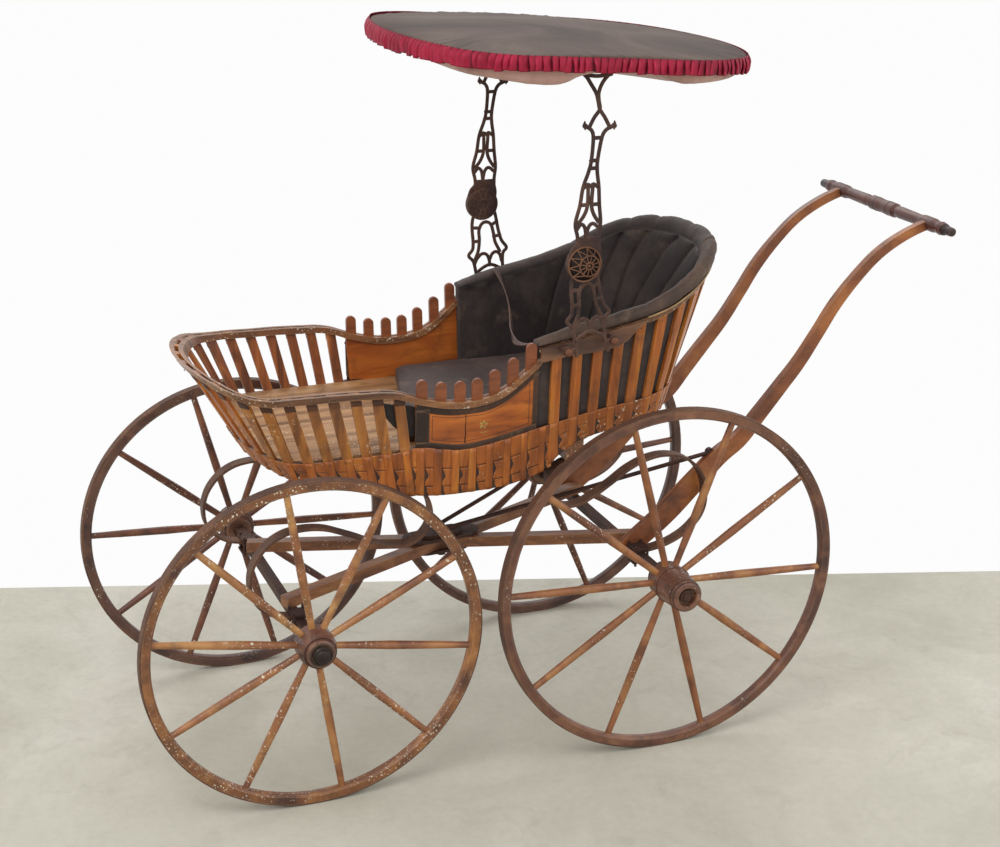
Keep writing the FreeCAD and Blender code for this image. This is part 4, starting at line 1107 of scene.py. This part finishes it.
def panel_high(x, d):
    """Height at d below the edge of the rail over the side panel."""
    return float(curve_through(RAIL, x)) - 5.75 - d


def make_panels():
    """Leather border, inlaid line and a small gilt flower on each side panel, and a crack on the
    left one.
    """
    border, inlay, crack, gilt = Batch(), Batch(), Batch(), Batch()
    xs = np.linspace(49, 273.8, 46)
    ring = [(x, panel_low(x, 15.5)) for x in np.linspace(64, 243, 34)]
    ring += [(243.5, z) for z in np.linspace(panel_low(243, 17), panel_high(243, 20), 9)]
    ring += [(x, panel_high(x, 18.5)) for x in np.linspace(243, 64, 34)]
    ring += [(63.5, z) for z in np.linspace(panel_high(64, 20), panel_low(64, 17), 12)]
    for side in (1, -1):
        border.add(*patch([(x, panel_high(x, 7.0)) for x in xs], 6.8, 1.1, side))
        border.add(*patch([(x, panel_low(x, 5.2)) for x in xs], 5.0, 1.1, side))
        for x, w in ((261.8, 12.9), (52.6, 4.4)):
            zs = np.linspace(panel_low(x, 8), panel_high(x, 10), 12)
            border.add(*patch([(x, z) for z in zs], w, 1.0, side))
        for a, b in ((0, 34), (33, 44), (43, 77), (76, 90)):
            inlay.add(*patch(ring[a:b], 0.55, 0.25, side))
    lo, hi = panel_low(182, 0), panel_high(182, 0)
    crack.add(*patch([(182.0 + 0.5 * math.sin(k * 1.3), lo + 12 + (hi - lo - 14) * k / 13)
                      for k in range(14)], [1.1 - 0.06 * k for k in range(14)], 0.3, 1))
    cx, cz = 147.6, 634.0                        # the flower's middle
    for side in (1, -1):
        for k in range(5):
            a = math.radians(90 + 72 * k + 12)
            leaf = [(cx + (1.8 + 7.2 * u) * math.cos(a) + 0.9 * math.sin(u * 3),
                     cz + 1.5 + (1.8 + 7.2 * u) * math.sin(a)) for u in np.linspace(0, 1, 7)]
            gilt.add(*patch(leaf, [0.5, 1.5, 2.2, 2.5, 2.0, 1.2, 0.35], 0.35, side))
        stem = [(cx + 8.5 - 17 * u, cz - 11.0 - 2.4 * math.sin(u * math.pi))
                for u in np.linspace(0, 1, 9)]
        gilt.add(*patch(stem, [0.3, 0.6, 0.8, 0.6, 0.5, 0.8, 0.7, 0.5, 0.25], 0.3, side))
    border.piece("panel_border", "edge_leather", "carriage", "leather")
    inlay.piece("panel_inlay", "inlay_wood", "carriage", "panel_wood")
    crack.piece("panel_crack", "dark_gap", "carriage", "panel_wood")
    gilt.piece("gilt_flower", "gilt_paint", "carriage", "panel_wood")


# ---------------------------------------------------------------- ironwork trim
PIVOT = (-17.3, 920.4)
BOLTS = ((8, 765), (-79, 777))                   # where the brackets are bolted to the body
KNOBS = ((-13.0, 1157.0), (-66.0, 1155.0))       # on the standards, under the fork
LOWER_Y = (240.5, 244.5)                         # the brackets' two faces
UPPER_Y = (244.8, 248.8)                         # the standards' two faces


def prism(outline, y0, y1, side):
    """Flat plate of an (x, z) outline between two distances from the middle."""
    return ([(x, side * y, z) for y in (y0, y1) for x, z in outline],
            shell(2, len(outline)))


def round_plate(centre, radius, y0, y1, side, sides=64):
    return prism(circle(centre, radius, sides), y0, y1, side)


def lathe(centre, side, profile, sides=28, ring=False):
    """Solid turned about a line across the carriage, profile of (y, radius)."""
    pts = []
    for a in angles(sides):
        for y, radius in profile:
            x, z = polar(centre, radius, a)
            pts.append((x, side * y, z))
    n = len(profile)
    if ring:
        return pts, grid(sides, n, True, True)
    return pts, grid(sides, n, True) + [tuple(range(0, sides * n, n))[::-1],
                                        tuple(range(n - 1, sides * n, n))]


def flat_ring(centre, inner, outer, y0, y1, side, sides=64):
    return lathe(centre, side, ((y0, inner), (y1 - 0.4, inner), (y1, inner + 0.5),
                                (y1, outer - 0.5), (y1 - 0.4, outer), (y0, outer)), sides, True)


def flat_bar(a, b, width, y0, y1, side):
    """Straight raised bar between two (x, z) points, bevelled on its outer face."""
    a, b = np.array(a, float), np.array(b, float)
    w = (b - a) / np.linalg.norm(b - a)
    n = np.array([-w[1], w[0]])
    pts = []
    for p in (a, b):
        for k, y in ((-1, y0), (-1, y1 - 0.5), (-0.5, y1), (0.5, y1), (1, y1 - 0.5), (1, y0)):
            q = p + n * k * width / 2
            pts.append((q[0], side * y, q[1]))
    return pts, shell(2, 6)


def hoop(centre, radius, y, thick):
    """Round wire ring about a line across the carriage."""
    return tube([(x, y, z) for x, z in circle(centre, radius, 48)], thick, True)


LOWER_STROKES = [pairs(text) for text in (
    "-1 903, 3 886, 3 868, 1 846, 2 831, 10 819, 0 806, -6 780, -10 756",
    "-4 812, -10 828, -12 849, -11 868, -17 881, -27 884, -36 878, -41 862, -45 843, -55 824",
    "-41 912, -46 892, -51 868, -58 846, -69 830, -62 820, -61 800, -64 778, -69 760",
    "-2 800, -8 812, -18 821, -28 818, -33 807, -34 797",
    "-34 808, -39 819, -47 823, -55 817, -59 804",
    "-6 780, -14 789, -34 798, -54 791, -62 786",
    "2 874, -10 873", "1 846, -12 847", "-42 854, -55 856", "-37 877, -48 884", "-7 768, 8 765",
    "-67 778, -79 777")]
UPPER_STROKES = [pairs(text) for text in (
    "-5 944, -4 968, 0.5 992, -7 1022, -12 1053, -21 1078, -26 1098, -28.5 1135, -25 1149,"
    "-15 1156",
    "-43.5 944, -43.5 968, -46 992, -43 1022, -41 1053, -37.5 1078, -37.5 1098, -44 1135,"
    "-51 1148, -63 1154",
    "-21 1155, -29 1170, -39 1184, -37 1198, -36.5 1212, -43 1228, -55 1241, -71 1249",
    "-58 1153, -49 1169, -39 1184, -35.5 1198, -31.5 1211, -22 1226, -12 1240, 3 1251",
    "-21.5 1053, -21 1022, -15 1005, -5 992", "-30 1053, -28.5 1022, -33 1006, -42 992",
    "-13 1052, -21 1058, -26 1054, -31 1058, -40 1052", "-29 1136, -43 1136",
    "-25 1098, -37 1098", "-23 1085, -37 1085", "-8 1023, -20 1023", "-29 1023, -42 1023",
    "-3 982, -10 990, -17 984, -20 966", "-20 966, -24 984, -32 990, -43 982",
    "-10 1242, -34 1239, -58 1241")]
STROKE_SECTION = pairs("-1 -0.55, -0.72 -1, 0.72 -1, 1 -0.55, 1 0.3, 0.62 1, -0.62 1, -1 0.3")


def bend(line, step=2.2):
    """Even points on a smooth curve through a run of (x, z) points."""
    p = np.asarray(line, float)
    if len(p) == 2:
        return p
    q = np.vstack([2 * p[0] - p[1], p, 2 * p[-1] - p[-2]])
    out = [p[0]]
    for k in range(1, len(q) - 2):
        a, b, c, d = q[k - 1:k + 3]
        n = max(3, int(np.linalg.norm(c - b) / step))
        for u in np.linspace(0, 1, n + 1)[1:]:
            out.append(0.5 * (2 * b + (c - a) * u + (2 * a - 5 * b + 4 * c - d) * u * u
                              + (3 * b - a - 3 * c + d) * u ** 3))
    return np.array(out)


def openwork(batch, lines, y0, y1, side, width=6.5):
    """Cast bars with rounded edges along smooth lines, and a rounded end on each."""
    for k, line in enumerate(lines):             # no two lines' faces lie in one plane
        p = bend(line)
        mid, deep = (y0 + y1) / 2, (y1 - y0) / 2 - 0.07 * (k % 5) - 0.05
        pts = []
        for q, w in zip(p, heading(p)):
            n = np.array([-w[1], w[0]])
            for a, b in STROKE_SECTION:
                x, z = q + n * a * width / 2
                pts.append((x, side * (mid + deep * b), z))
        batch.add(pts, shell(len(p), len(STROKE_SECTION)))
        for end in (p[0], p[-1]):
            pts = [(x, side * y, z)
                   for y, r in ((mid - deep + 0.03, 0.8), (y0 + 1, 1.0), (y1 - 1, 1.0),
                                (mid + deep - 0.03, 0.8))
                   for x, z in circle(end, width / 2 * r, 14)]
            batch.add(pts, shell(4, 14))


def make_standards():
    """The pierced iron brackets and standards, with the round joint plates between them."""
    low, high = Batch(), Batch()
    y0, y1 = LOWER_Y
    neck = [*bend(pairs("-5 967, -1.5 958, 7 948, 13 930"), 2.0),
            *bend(pairs("-43.5 967, -46 956, -48.5 943, -47.6 928"), 2.0)[::-1]]
    for side in (1, -1):
        openwork(low, LOWER_STROKES, y0, y1, side)
        low.add(*round_plate(PIVOT, 31.5, y0 - 1.0, y1, side))
        low.add(*round_plate(PIVOT, 4.0, y1, y1 + 4.2, side, 24))
        low.add(*flat_ring(PIVOT, 27.5, 31.0, y0 - 0.8, y0 - 2.2, side))
        low.add(*flat_ring(PIVOT, 9.0, 12.0, y0 - 0.8, y0 - 2.2, side, 40))
        for a in angles(10):
            low.add(*flat_bar(polar(PIVOT, 11.5, a), polar(PIVOT, 28.0, a), 2.2, y0 - 0.8,
                              y0 - 1.9, side))
        for bolt in BOLTS:
            low.add(*round_plate(bolt, 6.0, y0 - 35.5, y1, side, 24))
            low.add(*round_plate(bolt, 8.6, y0, y1 + 0.6, side, 28))
            low.add(*round_plate(bolt, 6.0, y1, y1 + 4.9, side, 24))
        openwork(high, UPPER_STROKES, *UPPER_Y, side)
        high.add(*round_plate(PIVOT, 31.5, *UPPER_Y, side))
        high.add(*prism(neck, UPPER_Y[0], UPPER_Y[1] - 0.1, side))
        for knob in KNOBS:
            high.add(*round_plate(knob, 4.4, y1 + 0.1, y1 + 4.5, side, 20))
    lower = low.piece("bracket_castings", "standard_iron", "carriage", "standard_iron", False)
    upper = high.piece("standard_castings", "standard_iron", "canopy", "standard_iron", False)
    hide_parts("canopy_brackets")
    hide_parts("canopy_standards")


def make_rosettes():
    """Openwork medallions over the tilt joint: a pierced wheel inside a ring of tracery."""
    dark, light = Batch(), Batch()
    hub = (-26.5, 916.5)
    y0, y1 = UPPER_Y[1], UPPER_Y[1] + 2.4
    for side in (1, -1):
        # a dark disc under the tracery: painted shade seen through its openings
        dark.add(*round_plate(PIVOT, 30.3, y0 - 0.2, y0 + 0.35, side))
        light.add(*flat_ring(PIVOT, 28.6, 31.4, y0 - 0.2, y1, side))
        light.add(*flat_ring(hub, 16.9, 19.4, y0, y1, side))
        light.add(*flat_ring(hub, 4.6, 7.2, y0, y1, side, 32))
        light.add(*dome_head(np.array([hub[0], side * y0, hub[1]]), (0, side, 0), 3.2, 0.9))
        for a in angles(12):
            light.add(*flat_bar(polar(hub, 6.6, a + 0.2), polar(hub, 17.6, a + 0.2), 1.9, y0,
                                y1 - 0.4, side))
        for k in range(11):                      # zigzag between wheel and ring
            a, b = math.radians(-62 + 17.5 * k), math.radians(-62 + 17.5 * (k + 1))
            if k % 2:
                a, b = b, a
            first, last = polar(hub, 18.8, a), polar(PIVOT, 29.2, b)
            if k % 2:
                first, last = last, first
            light.add(*flat_bar(first, last, 2.0, y0, y1 - 0.5, side))
    dark.piece("medallion_shade_disc", "dark_gap", "canopy", "standard_iron")
    light.piece("medallion_tracery", "tracery_iron", "canopy", "standard_iron", False)


def make_horns():
    """Small pointed finials on the knobs of the standards, and the bracket bolts' heads."""
    tips, heads = Batch(), Batch()
    horn = pairs("0 -7.5, 2.2 -4.2, 3.6 -0.6, 2.2 1, 3.2 3.6, 0.6 8.2, -1 3.4, -2.6 1.2,"
                 "-4.2 1.6, -4.2 -1.6, -2.4 -1.6, -1.6 -4")
    for side in (1, -1):
        for (x, z), way in zip(KNOBS, (1, -1)):
            tips.add(*prism([(x + way * a, z + 0.6 + b) for a, b in horn], UPPER_Y[0] + 0.1,
                            UPPER_Y[1] - 0.1, side))
        for x, z in BOLTS:
            heads.add(*dome_head(np.array([x, side * 249.3, z]), (0, side, 0), 7.6, 0.6, 4, 20))
    tips.piece("standard_finials", "standard_iron", "canopy", "standard_iron", False)
    heads.piece("bracket_bolts", "bolt_iron", "carriage", "old_iron")


FRONT_AXLE = (484.0, 302.5)
REAR_AXLE = (-174.0, 330.0)
HANDLE_BAR = (-772.5, 912.0)
NUT = pairs("324.5 16.3, 328.2 16.3, 329.2 13.4, 332.2 12.9, 335.2 12.4, 336.8 10.3, 338.2 8.2,"
            "338.6 2")
BAR_RINGS = [pairs(text) for text in (
    "205.5 8.3, 206.5 10.4, 209 10.8, 211 8.7, 222 8.6, 228 8.5, 230.6 7.6, 231.4 5.6",
    "150 12.6, 150.4 12.9, 152.6 12.9, 153 12.5", "20 14, 20.4 14.3, 22.6 14.3, 23 13.9")]


def make_hubs():
    """Turned lines and iron bands on the hubs, axle nuts, sleeves on the handle's ends."""
    # the wheel's middle, then each line's distance outwards from it and radius
    for tag, centre, y, lines in (
            ("front", FRONT_AXLE, 284.0, ((-25.0, 27.3), (33.0, 28.0))),
            ("rear", REAR_AXLE, 309.0, ((-28.0, 27.3), (18.0, 33.9), (64.0, 29.4),
                                        (72.5, 27.6)))):
        for side, name in ((1, "left"), (-1, "right")):
            name = tag + "_" + name
            rings = Batch()
            for at, r in lines:
                rings.add(*hoop(centre, r + 0.1, side * (y + at), 1.0))
            rings.piece(name + "_hub_bands", "old_iron", name + "_wheel", "old_iron")
            if tag == "front":
                new_piece(name + "_hub_ring", *hoop(centre, 19.8, side * 324.2, 1.9),
                          "nail_iron", name + "_wheel", "old_iron")
    nuts, sleeves = Batch(), Batch()
    for side in (1, -1):
        nuts.add(*lathe(FRONT_AXLE, side, NUT))
        for profile in BAR_RINGS:
            sleeves.add(*lathe(HANDLE_BAR, side, profile))
    nuts.piece("axle_nuts", "nut_iron", "carriage", "old_iron")
    sleeves.piece("handle_bar_rings", "dark_turning", "carriage", "dark_wood")


make_skirt()
make_caps()
make_panels()
make_standards()
make_rosettes()
make_horns()
make_hubs()

# ---------------------------------------------------------------- floor, light, camera
WALL_LINE = ((0.896, -0.820), (-1.245, -0.133))     # where the floor ends behind the carriage


def floor_material():
    g = Graph("floor_concrete", Roughness=0.75, Specular_IOR_Level=0.3)
    dark, light, cloud, spot, grit = tones("c8c4b3 e4e0d2 b2ad9b a8a292 a09a8c")
    g.base = g.ramp(g.noise(0.9, 5, 0.6), (0.34, dark), (0.66, light))
    g.stain(cloud, 2.6, 0.46, 0.70, 0.45, 6, 0.65, 0.6)
    g.stain(spot, 7.0, 0.55, 0.8, 0.4, distort=1.5)
    g.stain(grit, 60.0, 0.4, 0.8, 0.18, 3)
    g.finish()
    return g.mat


def make_floor():
    (x0, y0), (x1, y1) = WALL_LINE
    along = Vector((x1 - x0, y1 - y0, 0)).normalized()
    front = Vector((-along.y, along.x, 0))
    if front.y < 0:
        front = -front
    a = Vector((x0, y0, 0)) - along * 9
    b = Vector((x1, y1, 0)) + along * 9
    mesh = bpy.data.meshes.new("floor")
    mesh.from_pydata([c[:] for c in (a, b, b + front * 14, a + front * 14)], [], [(0, 1, 2, 3)])
    mesh.materials.append(floor_material())
    link("floor", mesh)


def make_light():
    """A dim world that looks white to the camera and in reflections, and three area lamps."""
    world = bpy.data.worlds.new("studio")
    bpy.context.scene.world = world
    world.use_nodes = True
    t = world.node_tree
    back = t.nodes["Background"]
    path, both, seen, mix = (t.nodes.new("ShaderNode" + kind)
                             for kind in ("LightPath", "Math", "Background", "MixShader"))
    for node, colour, strength in ((back, (0.98, 0.99, 1.0, 1), 0.62),
                                   (seen, (1, 1, 1, 1), 0.98)):
        node.inputs["Color"].default_value = colour
        node.inputs["Strength"].default_value = strength
    both.operation = "MAXIMUM"
    for out, into in ((path.outputs["Is Camera Ray"], both.inputs[0]),
                      (path.outputs["Is Glossy Ray"], both.inputs[1]),
                      (both.outputs[0], mix.inputs[0]), (back.outputs[0], mix.inputs[1]),
                      (seen.outputs[0], mix.inputs[2]),
                      (mix.outputs[0], t.nodes["World Output"].inputs["Surface"])):
        t.links.new(out, into)
    for name, place, size, power in (("key", (2.6, 2.2, 3.6), 2.4, 70),
                                     ("fill", (-2.8, 3.0, 2.6), 2.6, 36),
                                     ("back", (-0.6, -2.8, 3.2), 2.4, 30)):
        lamp = bpy.data.lights.new(name, "AREA")
        lamp.size, lamp.energy = size, power
        obj = link(name, lamp)
        obj.location = place
        obj.rotation_mode = "QUATERNION"
        obj.rotation_quaternion = (Vector((0, 0, 0.6)) - Vector(place)).to_track_quat("-Z", "Y")


def make_camera():
    right = Vector((-0.9311628, 0.3644751, 0.0096793))
    down = Vector((0.1131912, 0.3142133, -0.9425804))
    ahead = Vector((-0.3465884, -0.8766002, -0.3338391))
    cam = bpy.data.cameras.new("camera")
    cam.sensor_width, cam.lens = 36.0, 66.55
    cam.clip_start, cam.clip_end = 0.1, 60.0
    obj = link("camera", cam)
    turn = Matrix((right, -down, -ahead)).transposed()
    obj.matrix_world = Matrix.Translation((1.24143, 3.04770, 1.71627)) @ turn.to_4x4()
    bpy.context.scene.camera = obj


bpy.context.scene.view_settings.view_transform = "Standard"
make_floor()
make_light()
make_camera()
